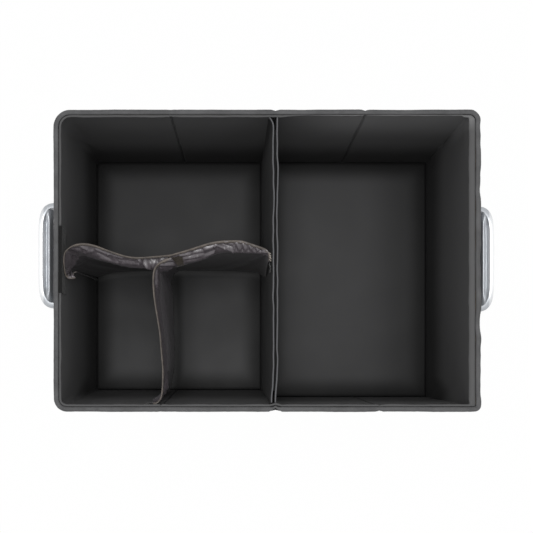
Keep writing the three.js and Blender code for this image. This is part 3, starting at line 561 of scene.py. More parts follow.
# %% Divider cloth
def shiny_divider_cloth(name, top, foot, fold):
    """Thin satin cloth, with painted light down to its fold and painted shade below it."""
    material, shader = new_finish(name, 0.34, sheen=0.04, specular=0.75)
    streak = noise_at(material, 1.1 * MM, 3, (1, 0.03, 1), where=cloth_place(material))
    share = between(material, weighed(material, streak, 0.6, noise_at(material, 30 * MM), 0.4), 0, 1)
    height = between(material, cloth_axes(material)[1], 1, 0, fold, fold + 7 * MM, "SMOOTHSTEP")
    colour = blended(material, height, blended(material, share, *shades(foot, 0.3)),
                     blended(material, share, *shades(top, 0.22)))
    shine = node(material, "ShaderNodeMix", {
        "Factor": height, "A": 0.75, "B": between(material, streak, 0.28, 0.42)}, data_type="FLOAT")
    paint(material, shader, colour, shine.outputs["Result"])
    crease = raised(material, shader, noise_at(material, 9 * MM, 2), 0.6 * MM, 0.3)
    raised(material, shader, streak, 0.03 * MM, 0.25, under=crease)
    return material


# Painted light and shade: the cross divider is painted light down to its fold and near black below it; the
# short one's two colours nearly match.
cross_satin = shiny_divider_cloth("satin_cross_divider", (0.086, 0.075, 0.083),
                                  (0.011, 0.009, 0.011), 29 * MM)
short_satin = shiny_divider_cloth("satin_short_divider", (0.066, 0.057, 0.064),
                                  (0.064, 0.055, 0.064), 22 * MM)
print("divider cloths:", cross_satin.name, short_satin.name)

# %% [markdown]
# ## Small cloths
# Tape, loop pile and thread are each one colour that wanders a little over one relief, so they share
# a recipe.

# %% Tape, pile and thread
TAPE_RIB = 0.45 * MM


def mottled(name, blobs, dark, light, relief, depth, strength, **plain):
    """A finish whose colour wanders from dark to light. relief(material) gives its height."""
    material, shader = new_finish(name, **plain)
    share = between(material, noise_at(material, *blobs), 0, 1)
    paint(material, shader, blended(material, share, dark, light))
    raised(material, shader, relief(material), depth, strength)
    return material


def tape_rib(material):
    return thread_wave(material, cloth_axes(material)[0], TAPE_RIB)


def pile_cloth(name, dark, light):
    return mottled(name, (1.5 * MM,), dark, light, lambda material: noise_at(material, 0.6 * MM, 2),
                   0.4 * MM, 0.9, roughness=0.95, sheen=0.15, specular=0.2)


def sewing_thread(name, dark, light):
    return mottled(name, (6 * MM,), dark, light, lambda material: noise_at(material, 0.25 * MM, 1),
                   0.05 * MM, 0.6, roughness=0.6, sheen=0.1)


edge_tape = mottled("thin_edge_tape", (9 * MM,), (0.062, 0.052, 0.045), (0.125, 0.105, 0.09), tape_rib,
                    0.07 * MM, 0.8, roughness=0.55, sheen=0.1)
pile = pile_cloth("black_pile", (0.005, 0.005, 0.005), (0.014, 0.014, 0.014))
patch_pile = pile_cloth("brown_black_pile", (0.016, 0.013, 0.01), (0.06, 0.05, 0.04))
dark_thread = sewing_thread("dark_thread", (0.035, 0.035, 0.036), (0.06, 0.06, 0.062))
pale_thread = sewing_thread("pale_thread", (0.3, 0.27, 0.24), (0.45, 0.41, 0.37))
print("small cloths:", edge_tape.name, pile.name, patch_pile.name, dark_thread.name, pale_thread.name)

# %% [markdown]
# ## Hard finishes
# The grips are satin silver with a fine grain along them, with a painted highlight on the outer lobe
# that fades towards the legs. The boards inside the walls are bare fibreboard, and the rivets and their
# plates are zinc. Few of these show, but anyone who takes the part apart sees them.

# %% Hard finishes
def silver_grip():
    material, shader = new_finish("satin_silver_grip", 0.36, metallic=0.45)
    grain = noise_at(material, 0.8 * MM, 3, (1, 0.08, 1))
    share = between(material, weighed(material, grain, 0.4, noise_at(material, 30 * MM), 0.6), 0, 1)
    place = object_place(material)
    outward = maths(material, "ABSOLUTE", place["X"])
    lobe = between(material, outward, 0, 1, 291.5 * MM, 294 * MM, "SMOOTHSTEP")
    from_middle = maths(material, "ABSOLUTE", maths(material, "SUBTRACT", place["Y"], 9 * MM))
    fade = between(material, from_middle, 1, 0.45, 36 * MM, 64 * MM, "SMOOTHSTEP")
    bare = blended(material, share, (0.41, 0.43, 0.455), (0.47, 0.49, 0.515))
    # Painted highlight: the outer lobe is painted near white, fading towards the legs.
    lobe_highlight = maths(material, "MULTIPLY", lobe, fade)
    paint(material, shader, blended(material, lobe_highlight, bare, (0.93, 0.94, 0.95)),
          between(material, noise_at(material, 12 * MM), 0.32, 0.42))
    raised(material, shader, grain, 0.02 * MM, 0.12)
    return material


def zinc_steel():
    material, shader = new_finish("zinc_plated_steel", 0.38, metallic=0.9)
    bloom = noise_at(material, 3 * MM, 3)
    colour = blended(material, between(material, bloom, 0, 1), (0.36, 0.36, 0.37), (0.52, 0.52, 0.53))
    paint(material, shader, colour, between(material, bloom, 0.3, 0.48))
    return material


def fibres(material):
    return noise_at(material, 3 * MM, 5, (1, 1, 0.2))


grip_silver = silver_grip()
steel_finish = zinc_steel()
board_finish = mottled("bare_fibre_board", (3 * MM, 5, (1, 1, 0.2)), (0.22, 0.18, 0.14), (0.34, 0.28, 0.22),
                       fibres, 0.15 * MM, 0.5, roughness=0.85)
print("finishes:", len(bpy.data.materials))


# %% [markdown]
# ## Dressing the pieces
# Each new piece needs a finish and a body to ride on. The CAD parts that stay, such as boards, strips
# and plates, only get better materials in their slots.

# %% Dressing the pieces
def dress(piece, material):
    """Gives a new piece its finish and its place on the one rigid body."""
    piece.data.materials.clear()
    piece.data.materials.append(material)
    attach(piece, "root")
    return piece

# %% [markdown]
# ## CAD parts that stay
# Boards, strips, hook tapes and plates are plain forms with nothing to add, so the CAD solid is shown
# as it is, in its own finish. The divider board, which shows in the sleeve's groove, gets the sleeve's dark
# cloth instead, as painted shade.

# %% Finishes of the CAD parts that stay
for name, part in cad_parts.items():
    finish = board_finish
    if "plate" in name or "rivet" in name:
        finish = steel_finish
    elif "strip" in name or "hook" in name or "patch" in name:
        finish = pile
    elif name == "bottom_panel":
        finish = woven_cover
    # Painted shade: the divider board in the sleeve's groove gets the sleeve's dark cloth.
    elif name == "divider_board":
        finish = sleeve_lining
    part.data.materials.clear()
    part.data.materials.append(finish)
print("CAD parts with a finish:", len(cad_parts))

# %% [markdown]
# ## Cover
# The cover is one band of woven cloth round the box, stretched over the boards. It isn't flat: it
# swells a little between the fold lines, dips into them where the walls will fold, and wrinkles beside
# the corners. A skin of rings shows this, with each ring's push made of these parts.

# %% Outer cover
cover_low, cover_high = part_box("outer_cover")
COVER_INSET = cover_low.x - rim_low.x
COVER_THICKNESS = 1.2 * MM
cover_rows = np.concatenate([[0, 1.2, 3.5], np.arange(9, 245, 6.5), [248, 253, cover_high.z / MM]]) * MM


def cover_push(z):
    """How far the cover stands out of its plan at one height."""
    height = z / cover_high.z
    free = smooth_step(z, 0, 30 * MM) * (1 - smooth_step(z, 225 * MM, 246 * MM))
    push = 0.55 * MM * free * (1 + waves(side_along + 0.4 * z, 11, [(0.16, 0.5), (0.055, 0.35)]))
    push += free * waves(side_along * 1.0 - 1.7 * z, 12, [(0.045, 0.22 * MM), (0.02, 0.08 * MM)])
    for on_side, place in sewn_lines:
        push -= 1.5 * MM * fold_push(on_side, place, 5 * MM) * (0.75 + 0.25 * free)
        push += 0.5 * MM * free * fold_push(on_side, place, 30 * MM, 2.0)
    folds = waves(side_along, 13, [(0.012, 0.5 * MM), (0.007, 0.25 * MM)])
    push += free * folds * corner_near * math.sin(math.pi * min(height, 1))
    for centre_y, on_side in grip_sides:
        calm = 1 - smooth_step(np.abs(rim_plan[:, 1] - centre_y), 78 * MM, 100 * MM)
        calm = np.where(on_side, calm, 0) * smooth_step(z, 150 * MM, 180 * MM)
        push *= 1 - calm
    return push + (z < 1 * MM) * -0.6 * MM


corner_places = [rim_plan[column_side == corner].mean(0) for corner in RADII]
corner_distance = np.min([np.linalg.norm(rim_plan - place, axis=1) for place in corner_places], axis=0)
corner_near = np.exp(-(corner_distance / (22 * MM)) ** 2)
grip_sides = []
for side_name, on_side in (("left", column_side == "left"), ("right", on_right)):
    grip_low, grip_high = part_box(f"{side_name}_grip")
    grip_sides.append(((grip_low.y + grip_high.y) / 2, on_side))

outer = [ring(COVER_INSET, z, cover_push(z)) for z in cover_rows]
inner = [ring(COVER_INSET + COVER_THICKNESS, z) for z in (cover_high.z, 120 * MM, 0)]
outer_cover = skin("outer_cloth_cover", [*outer, *inner], rim_along, closed=True, ring=True)
dress(outer_cover, woven_cover)
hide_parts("outer_cover")
print("cover faces:", len(outer_cover.data.polygons))

# %% [markdown]
# ## Binding
# The ribbed tape is folded over the wall's top edge and sewn through. Sewing gathers it a little, so it
# is never quite straight: its outer edge wanders, most on the right in the photo, and it kinks where
# the walls fold and where the fixed divider pulls the front wall in.

# %% Rim binding
BINDING_WIDTH = 6.2 * MM
BINDING_DROP = rim_high.z - rim_low.z
FRONT_NOTCH = 4.5 * MM
SEAM_ROOM = 2.7 * MM
dome = 1.7 * MM

kinks = [
    (on_front, DIVIDER_TOP_X, 8, 1.0, 4.5), (on_back, DIVIDER_TOP_X, 6, 1.2, 1.5),
    (on_back, FOLDS_BACK[1], 5.5, 1.2, 1.6), (on_back, FOLDS_BACK[0], 5, 1.2, 0.3),
    (on_front, FOLDS_FRONT[1], 5, 1.2, 1.3), (on_front, FOLDS_FRONT[0], 5, 1.2, 0.3)]
rim_kinks = sum(fold_push(on_side, place, half * MM, sharpness) * depth * MM
                for on_side, place, half, sharpness, depth in kinks)
rim_wander = waves(side_along, 21, [(0.14, 0.22 * MM), (0.045, 0.08 * MM)])
on_right_end = smooth_step(rim_plan[:, 0], 0.255, 0.268)
rim_wander += on_right_end * waves(side_along, 22, [(0.06, 0.7 * MM), (0.028, 0.4 * MM)])
rim_gather = waves(side_along, 23, [(0.009, 0.07 * MM)])
rim_lift = waves(side_along, 24, [(0.05, 0.2 * MM), (0.015, 0.1 * MM)])

section = [(0.0, -BINDING_DROP), (0.0, -9 * MM), (-0.1 * MM, -5.5 * MM), (0.0, -3 * MM)]
for step in range(13):
    turn = math.pi * step / 12
    section.append((BINDING_WIDTH / 2 * (1 - math.cos(turn)), dome * (math.sin(turn) - 1)))
section += [(BINDING_WIDTH, -2.7 * MM), (3 * MM, -2.75 * MM), (0.9 * MM, -2.8 * MM),
            (0.9 * MM, -BINDING_DROP)]


def binding_ring(inset, drop):
    inward = inset / BINDING_WIDTH
    kink = rim_kinks * (1 - inward) + np.clip(rim_kinks - SEAM_ROOM, 0, None) * inward
    push = -kink + rim_wander * (1 - 0.5 * inward) + rim_gather * (1 - inward)
    top = smooth_step(drop, -4 * MM, 0)
    return ring(inset, rim_high.z + drop + rim_lift * top - 0.3 * MM * top, push)


binding = skin("ribbed_rim_binding", [binding_ring(*point) for point in section], rim_along,
               closed=True, ring=True)
dress(binding, ribbed_binding)
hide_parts("rim_binding")
print("binding faces:", len(binding.data.polygons))

# %% [markdown]
# ## Lining
# The lining is a bag. Its top edge is rolled into a hem, which stands as a light lip inside the
# binding. On the right wall the cloth is slack and rolls over more softly, so the lip is broader there,
# and along the back of the right half it is tucked in and the lip is narrow. Each long wall has two
# sharp grooves where it folds. The front wall of the left half leans in towards its foot.

# %% Lining bag
lining_low, lining_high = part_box("lining")
HEM_INSET = 6.5 * MM
HEM_WIDTH = 3 * MM
HEM_HEIGHT = 3.2 * MM
LINING_CLOTH = 1.2 * MM
FACE_INSET = np.array([8.9, 13.7, 6.6, 6.6]) * MM
TOE_IN = 11 * MM
shoulder_z = lining_high.z - HEM_HEIGHT - 2 * MM
floor_z = lining_low.z + LINING_CLOTH


def toe_in(z):
    return TOE_IN * (1 - np.clip((z - floor_z) / (shoulder_z - floor_z), 0, 1))


def with_toe(points, z):
    """Moves the foot of the left half's front wall inward."""
    share = 1 - smooth_step(points[:, 0], divider_x(z) - 2 * MM, divider_x(z) + 2 * MM)
    share = share * (1 - smooth_step(points[:, 1], low_y + 34 * MM, low_y + 110 * MM))
    points[:, 1] += toe_in(z) * share
    return points


groove_depth = 3.4 * MM
wall_grooves = sum(fold_push(on_side, place, 2.0 * MM, 0.8) for on_side, place in fold_lines)
wall_swell = sum(fold_push(on_side, place, 26 * MM, 2.0) for on_side, place in fold_lines)
divider_dip = fold_push(on_front, DIVIDER_TOP_X, 8 * MM, 1.0) * (FRONT_NOTCH - SEAM_ROOM)
back_tuck = np.where(on_back, smooth_step(rim_plan[:, 0], 0.012, 0.04), 0) * 1.8 * MM


def lining_push(z):
    """How far the lining stands out of its plan, outward, at one height."""
    free = smooth_step(z, floor_z, floor_z + 40 * MM) * (1 - smooth_step(z, shoulder_z - 25 * MM, shoulder_z))
    push = wall_grooves * groove_depth - wall_swell * 0.5 * MM * free - divider_dip
    push = push + free * waves(side_along + 0.5 * z, 31, [(0.2, 0.35 * MM), (0.08, 0.2 * MM)])
    return push + free * corner_near * waves(side_along - 0.3 * z, 32, [(0.03, 0.5 * MM)])


def lining_ring(z, extra=0.0):
    sharper = 8 * MM * (1 - z / shoulder_z)
    return with_toe(ring(FACE_INSET + extra, z, lining_push(z), sharper), z)


def hem_ring(turn):
    """A ring of the rolled hem; turn runs over the roll from its outer foot to its inner foot."""
    share = (1 - math.cos(turn)) / 2
    widths = np.array([HEM_WIDTH, HEM_WIDTH + 5 * MM, HEM_WIDTH, HEM_WIDTH])
    z = lining_high.z - HEM_HEIGHT / 2 + HEM_HEIGHT / 2 * math.sin(turn)
    lift = waves(side_along, 33, [(0.04, 0.25 * MM), (0.013, 0.15 * MM)])
    roll = waves(side_along, 34, [(0.06, 0.25 * MM), (0.018, 0.14 * MM)]) * share
    nick = wall_grooves * 1.2 * MM * share
    z = z + lift - wall_grooves * 0.8 * MM * share
    z = z - np.where(on_right, 1.8 * MM * share, 0)
    return ring(HEM_INSET + widths * share, z, nick + roll + back_tuck * share - divider_dip)


wall_heights = np.concatenate([np.linspace(shoulder_z, 10 * MM, 38), [7 * MM, 5 * MM, 3.8 * MM]])
outside = [lining_ring(lining_low.z, -LINING_CLOTH), lining_ring(120 * MM, -LINING_CLOTH),
           lining_ring(shoulder_z, -LINING_CLOTH)]
hem = [hem_ring(math.radians(a)) for a in np.linspace(-35, 215, 14)]
inside = [lining_ring(z) for z in wall_heights]
foot = [lining_ring(floor_z, 1.2 * MM), lining_ring(floor_z, 6 * MM)]
lining = skin("lining_bag", [*outside, *hem, *inside, *foot], rim_along, closed=True, caps="fan")
dress(lining, wall_lining)
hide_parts("lining")
print("lining faces:", len(lining.data.polygons))

# %% [markdown]
# ## Fixed divider
# Two walls of cloth with a board dropped between them. Seen from above their rolled top edges are two
# light lines with a groove between. They wander a little, bend apart at the back wall and run
# together at the front, where the sleeve is caught in the seam.

# %% Divider sleeve
sleeve_low, sleeve_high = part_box("divider_sleeve")
SLEEVE_INNER = 1.5 * MM
SLEEVE_CLOTH = 1.9 * MM
sleeve_outer = SLEEVE_INNER + SLEEVE_CLOTH


def sleeve_end(z, back):
    """Where the sleeve meets the lining at this height."""
    under = z < shoulder_z
    hem_reach = FACE_INSET[2] if under else HEM_INSET + HEM_WIDTH
    if back:
        return high_y - hem_reach - 0.3 * MM
    return low_y + hem_reach + (FRONT_NOTCH - SEAM_ROOM) + 0.3 * MM + (toe_in(z) if under else 0)


def sleeve_section():
    """Half widths and heights of the channel, out along its outside and back along its inside."""
    wall = np.concatenate([np.linspace(sleeve_low.z, shoulder_z - 0.5 * MM, 22), [shoulder_z + 1.5 * MM]])
    top = sleeve_high.z - SLEEVE_CLOTH / 2
    middle = SLEEVE_INNER + SLEEVE_CLOTH / 2
    roll = [(middle + SLEEVE_CLOTH / 2 * math.cos(a), top + SLEEVE_CLOTH / 2 * math.sin(a))
            for a in np.radians([0, 22, 45, 65, 82])]
    inner_roll = [(2 * middle - x, z) for x, z in roll]
    outside = [(sleeve_outer, z) for z in wall] + roll
    inside = [(SLEEVE_INNER, max(z, sleeve_low.z + SLEEVE_CLOTH)) for z in wall] + inner_roll
    return outside, inside


outside, inside = sleeve_section()
outline = ([(-x, z) for x, z in outside[::-1]] + outside + inside[::-1] + [(-x, z) for x, z in inside])
SLEEVE_LENGTH = 366 * MM
stations = np.concatenate([[0, 2, 5, 9, 14, 20, 28], np.linspace(38, 345, 50),
                           [351, 356, 360, 363, 365.2, 366]])
stations = stations / stations[-1]
sleeve_rows = []
for share in stations:
    run = share * SLEEVE_LENGTH
    row = []
    for x, z in outline:
        front, back = sleeve_end(z, False), sleeve_end(z, True)
        rise = z / rim_high.z
        from_back = (1 - share) * SLEEVE_LENGTH
        drift = 2.5 * MM * (1 - smooth_step(run, 0, 45 * MM)) * rise
        flare = 5 * MM * (1 - from_back / (12 * MM)) ** 2 if from_back < 12 * MM and x < 0 else 0
        seed = 41 if x < 0 else 42
        free = smooth_step(run, 0, 25 * MM) * smooth_step(from_back, 0, 25 * MM)
        wander = free * rise ** 3 * waves(run, seed, [(0.12, 0.5 * MM), (0.035, 0.3 * MM)])
        swell = free * math.sin(math.pi * rise) * waves(run + 0.5 * z, seed + 2, [(0.15, 0.5 * MM)])
        lift = free * rise ** 6 * waves(run, seed + 4, [(0.06, 0.3 * MM)])
        flare = flare * rise * smooth_step(z, 8 * MM, 60 * MM)
        row.append((x + divider_x(z) - drift - flare + wander + swell,
                    front + share * (back - front), z + lift))
    sleeve_rows.append(row)
sleeve = skin("divider_cloth_sleeve", sleeve_rows, closed=True, caps="pairs")
dress(sleeve, sleeve_lining)
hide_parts("divider_sleeve")
print("sleeve faces:", len(sleeve.data.polygons))

# %% [markdown]
# ## Base boards
# Two loose boards covered in the same smooth cloth lie on the bottom. Cloth pulled over a board rounds
# its edges and corners, and leaves it very slightly uneven, which shows as slow changes of shade.

# %% Base boards
BOARD_EDGE = 1.2 * MM


def rounded_outline(low, high, radii, steps=10, per_side=14):
    """Points round a rectangle with round corners, anticlockwise from the front right one."""
    arcs = []
    for index, (radius, right, back) in enumerate(zip(radii, (1, 1, 0, 0), (0, 1, 1, 0))):
        x = high.x - radius if right else low.x + radius
        y = high.y - radius if back else low.y + radius
        angles = np.radians(90 * (index - 1) + np.linspace(0, 90, steps + 1))
        arcs.append(np.column_stack([x + radius * np.cos(angles), y + radius * np.sin(angles)]))
    points = []
    for index, arc in enumerate(arcs):
        points += [arc, np.linspace(arc[-1], arcs[(index + 1) % 4][0], per_side + 1)[1:-1]]
    return np.vstack(points)


def covered_board(name, node_name, cloth, radii, seed):
    low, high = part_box(node_name)
    outline = rounded_outline(low, high, [radius * MM for radius in radii])
    centre = outline.mean(0)
    inward = np.array([(p - centre) / np.linalg.norm(p - centre) for p in outline])
    rows = []
    for angle in np.radians([-90, -60, -30, 0, 30, 60, 90]):
        edge = outline - inward * BOARD_EDGE * (1 - math.cos(angle))
        middle = low.z + BOARD_EDGE if angle < 0 else high.z - BOARD_EDGE
        rows.append(np.column_stack([edge, np.full(len(edge), middle + BOARD_EDGE * math.sin(angle))]))
    for share in (0.97, 0.92, 0.85, 0.77, 0.68, 0.58, 0.47, 0.36, 0.25, 0.13, 0.03):
        flat = centre + (outline - centre) * share
        uneven = waves(flat[:, 0] + 0.6 * flat[:, 1], seed, [(0.2, 0.15 * MM)])
        uneven += waves(flat[:, 1] - 0.4 * flat[:, 0], seed + 1, [(0.24, 0.15 * MM)])
        rows.append(np.column_stack([flat, high.z + (uneven - 0.25 * MM) * (1 - share ** 8)]))
    board = skin(name, rows, closed=True, caps="fan")
    dress(board, cloth)
    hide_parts(node_name)
    return board


left_board = covered_board("covered_left_base_board", "left_base_board", left_base_cloth, (2, 2, 5.5, 3), 51)
right_board = covered_board("covered_right_base_board", "right_base_board", right_base_cloth,
                            (2, 3, 2, 7), 55)
print("base board faces:", len(left_board.data.polygons), len(right_board.data.polygons))

# %% [markdown]
# ## Grips
# Each grip is a silver bar bowed out from the box, with a foot at each leg that the rivets go through.
# Seen from above it has a bright outer lobe, a groove, a flat ridge and a dark inner side. One
# cross-section is swept along half a rounded oblong, and slims towards the legs.

# %% Grip bars and feet
GRIP_LENGTH = 139.5 * MM
GRIP_DEPTH = 14.3 * MM
GRIP_LEG = 10 * MM
GRIP_SQUARENESS = 5
FOOT_WIDTH = 26 * MM
FOOT_CORNER = 6.5
FOOT_PROFILE = ((0.6, 0), (0, 0.5), (0, 2.6), (0.25, 3.3), (0.8, 3.8), (1.6, 4), (4, 4.0), (8, 3.9))
GRIP_OUTLINE = [
    (7.1, 0), (6.95, 3.6), (6.2, 6.2), (4.6, 7.8), (2.2, 8.2), (0.2, 7.5), (-0.9, 5.9), (-1.9, 4.0),
    (-3.3, 3.1), (-4.7, 3.6), (-5.8, 4.9), (-7.3, 5.5), (-8.5, 4.8), (-8.9, 2.8), (-9.2, -3.5), (-9.6, -10),
    (-9.2, -13), (-6, -14), (0, -13), (4.5, -11.5), (6.5, -8.2), (7.0, -4)]
GRIP_LEG_OUTLINE = [
    (7.1, 0), (6.95, 3.6), (6.2, 6.0), (4.6, 7.5), (2.2, 8.2), (0.2, 8.3), (-0.9, 8.25), (-1.9, 8.1),
    (-3.3, 7.8), (-4.7, 7.4), (-5.8, 6.9), (-7.3, 5.7), (-8.5, 4.2), (-8.9, 2.4)] + GRIP_OUTLINE[14:]
GRIP_INNER = 9.6 * MM


def grip_section(leg, per_point=4):
    """The bar's cross-section: outward, up. A round outer lobe, a groove, a flat ridge and a sheer inner
    side. As leg nears 1 the groove runs out, and the bar is one round back down to its foot."""
    points = (np.array(GRIP_OUTLINE) * (1 - leg) + np.array(GRIP_LEG_OUTLINE) * leg) * MM
    section = []
    for a, b, c, d in zip(np.roll(points, 1, 0), points, np.roll(points, -1, 0), np.roll(points, -2, 0)):
        for t in np.arange(per_point) / per_point:
            bend = 2 * a - 5 * b + 4 * c - d + t * (3 * (b - c) + d - a)
            section.append(b + 0.5 * t * (c - a + t * bend))
    return section


def grip_stations(face_reach, steps=48):
    """Places, headings and slimness along half a rounded oblong, from one foot to the other."""
    outer, root = GRIP_DEPTH / 2, 2 * MM
    reach_out, half = face_reach - outer - root, GRIP_LENGTH / 2 - outer
    stations = []
    for step in range(steps + 1):
        turn = (step / steps - 0.5) * math.pi
        across = 0 if step % steps == 0 else math.cos(turn) ** (2 / GRIP_SQUARENESS)
        along = math.copysign(abs(math.sin(turn)) ** (2 / GRIP_SQUARENESS), math.sin(turn))
        heading = math.atan2(math.copysign(abs(along) ** (GRIP_SQUARENESS - 1), along) / half,
                             across ** (GRIP_SQUARENESS - 1) / reach_out)
        slim = max(0.12, 1 - reach_out * (1 - across) / GRIP_INNER)
        stations.append((root + reach_out * across, half * along, heading, slim))
    return stations


def made_one(name, pieces):
    """Several pieces as one mesh."""
    together = bmesh.new()
    for piece in pieces:
        together.from_mesh(piece.data)
        bpy.data.objects.remove(piece)
    bmesh.ops.recalc_face_normals(together, faces=together.faces)
    mesh = bpy.data.meshes.new(name)
    together.to_mesh(mesh)
    together.free()
    mesh.shade_smooth()
    piece = bpy.data.objects.new(name, mesh)
    scene.collection.objects.link(piece)
    return piece


def grip(side):
    low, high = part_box(f"{side}_grip")
    out = -1 if side == "left" else 1
    face_x = low.x if side == "right" else high.x
    face_reach = (high.x - low.x) + 0.3 * MM
    centre_y, centre_z = (low.y + high.y) / 2, (low.z + high.z) / 2
    rows = []
    for x, y, heading, slim in grip_stations(face_reach):
        row = []
        for across, up in grip_section(smooth_step(abs(y), 40 * MM, 60 * MM)):
            if across > 0:
                place = (x + across * math.cos(heading), y + across * math.sin(heading))
            else:
                place = (max(x + across * slim, 0.6 * MM), y)
            row.append((face_x + out * (place[0] - 0.3 * MM), centre_y + out * place[1], centre_z + up))
        rows.append(row)
    parts = [skin("bar", rows, closed=True, caps="fan")]
    foot_y = GRIP_LENGTH / 2 - GRIP_LEG / 2
    half_height = (high.z - low.z) / 2
    for end in (-1, 1):
        rows = []
        for inset, rise in FOOT_PROFILE:
            corners = [(FOOT_CORNER - min(inset, 4)) * MM] * 4
            foot_high = Vector((FOOT_WIDTH / 2 - inset * MM, half_height - inset * MM, 0))
            outline = rounded_outline(-foot_high, foot_high, corners, 8, 6)
            rows.append([(face_x + out * rise * MM, centre_y + end * foot_y + a, centre_z + b)
                         for a, b in outline])
        parts.append(skin("foot", rows, closed=True, caps="fan"))
    made = made_one(f"silver_{side}_grip", parts)
    dress(made, grip_silver)
    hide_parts(f"{side}_grip")
    return made


grips = [grip("left"), grip("right")]
print("grip faces:", [len(piece.data.polygons) for piece in grips])

# %% [markdown]
# ## Geometry Nodes for what repeats
# Stitches, rivets and pile are the same small form hundreds of times. A node tree puts one on each
# point of a line or a face, with its sizes as named inputs. It ends in real geometry and a material,
# and the result is baked to a plain mesh, because an exported model keeps no modifier.

# %% Node tree helpers
def node_tree(name, sockets):
    """A Geometry Nodes tree with named inputs, as (tree, group input node, output node)."""
    tree = bpy.data.node_groups.new(name, "GeometryNodeTree")
    tree.interface.new_socket(name="Geometry", in_out="INPUT", socket_type="NodeSocketGeometry")
    for label, kind, value in sockets:
        socket = tree.interface.new_socket(name=label, in_out="INPUT", socket_type=f"NodeSocket{kind}")
        if value is not None:
            socket.default_value = value
    tree.interface.new_socket(name="Geometry", in_out="OUTPUT", socket_type="NodeSocketGeometry")
    return tree, tree.nodes.new("NodeGroupInput"), tree.nodes.new("NodeGroupOutput")


def finish_tree(tree, group_in, group_out, instances):
    real = tree_node(tree, "GeometryNodeRealizeInstances", {"Geometry": instances})
    smooth = tree_node(tree, "GeometryNodeSetShadeSmooth", {"Geometry": real.outputs[0]})
    finished = tree_node(tree, "GeometryNodeSetMaterial", {
        "Geometry": smooth.outputs[0], "Material": group_in.outputs["Material"]})
    tree.links.new(finished.outputs[0], group_out.inputs[0])
    return tree


def grown(name, tree, points, edges=(), faces=(), **values):
    """Runs a tree on a small mesh and returns its result as a plain piece."""
    mesh = bpy.data.meshes.new(name + "_guide")
    mesh.from_pydata([tuple(p) for p in points], list(edges), list(faces))
    guide = bpy.data.objects.new(name + "_guide", mesh)
    scene.collection.objects.link(guide)
    modifier = guide.modifiers.new("nodes", "NODES")
    modifier.node_group = tree
    labels = {item.name: item.identifier for item in tree.interface.items_tree
              if item.in_out == "INPUT" and item.socket_type != "NodeSocketGeometry"}
    for label, value in values.items():
        modifier[labels[label.replace("_", " ")]] = value
    evaluated = guide.evaluated_get(bpy.context.evaluated_depsgraph_get())
    result = bpy.data.meshes.new_from_object(evaluated)
    result.name = name
    bpy.data.objects.remove(guide)
    piece = bpy.data.objects.new(name, result)
    scene.collection.objects.link(piece)
    return piece


def line_edges(count, closed=False, start=0):
    edges = [(start + i, start + i + 1) for i in range(count - 1)]
    return edges + [(start + count - 1, start)] if closed else edges

# %% [markdown]
# ## Stitches
# A stitch is a bead of thread, longer than it is thick. No two lie quite alike, so the tree leans each
# one a little at random. The line that they follow is a guide mesh, which is taken away afterwards.

# %% Stitches
def stitch_tree():
    tree, group_in, group_out = node_tree("stitches_along_a_line", [
        ("Pitch", "Float", 3.4 * MM), ("Length", "Float", 2.6 * MM), ("Thread", "Float", 0.5 * MM),
        ("Unevenness", "Float", 0.12), ("Seed", "Int", 1), ("Material", "Material", None)])
    get = group_in.outputs
    curve = tree_node(tree, "GeometryNodeMeshToCurve", {"Mesh": get["Geometry"]})
    spaced = tree_node(tree, "GeometryNodeResampleCurve", {"Curve": curve.outputs[0]})
    spaced.mode = "LENGTH"
    tree.links.new(get["Pitch"], spaced.inputs["Length"])
    tangent = tree_node(tree, "GeometryNodeInputTangent")
    low = tree_node(tree, "ShaderNodeVectorMath", {0: (-1, -1, -1)}, operation="SCALE")
    high = tree_node(tree, "ShaderNodeVectorMath", {0: (1, 1, 1)}, operation="SCALE")
    for scaled in (low, high):
        tree.links.new(get["Unevenness"], scaled.inputs["Scale"])
    draw = tree_node(tree, "FunctionNodeRandomValue", {
        0: low.outputs[0], 1: high.outputs[0], "Seed": get["Seed"]}, data_type="FLOAT_VECTOR")
    leaning = tree_node(tree, "ShaderNodeVectorMath", {0: tangent.outputs[0], 1: draw.outputs[0]},
                        operation="ADD")
    turned = tree_node(tree, "FunctionNodeAlignRotationToVector", {"Vector": leaning.outputs[0]}, axis="Z")
    bead = tree_node(tree, "GeometryNodeMeshUVSphere", {"Segments": 6, "Rings": 5, "Radius": 0.5})
    size = tree_node(tree, "ShaderNodeCombineXYZ", {
        "X": get["Thread"], "Y": get["Thread"], "Z": get["Length"]})
    placed = tree_node(tree, "GeometryNodeInstanceOnPoints", {
        "Points": spaced.outputs[0], "Instance": bead.outputs[0], "Rotation": turned.outputs[0],
        "Scale": size.outputs[0]})
    return finish_tree(tree, group_in, group_out, placed.outputs[0])


stitches = stitch_tree()


def stitched(name, lines, slot, thread=None, closed=False, **values):
    """Stitches along one or more lines of points, as one piece on the body."""
    points, edges = [], []
    for line in lines:
        edges += line_edges(len(line), closed, len(points))
        points += list(line)
    piece = grown(name, stitches, points, edges, Material=thread or dark_thread, **values)
    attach(piece, "root")
    return piece


inner_row = binding_ring(BINDING_WIDTH - 1.5 * MM, -0.45 * MM)
outer_row = ring(0, rim_low.z + 2.2 * MM, -rim_kinks + rim_wander + 0.12 * MM)
rim_stitches = stitched("binding_stitches", [inner_row, outer_row], "binding", closed=True, Seed=3)
print("rim stitches:", len(rim_stitches.data.polygons) // 24)

# %% [markdown]
# ## Stitches of the cover
# The cover is sewn to the bottom panel, and quilted beside each fold line.

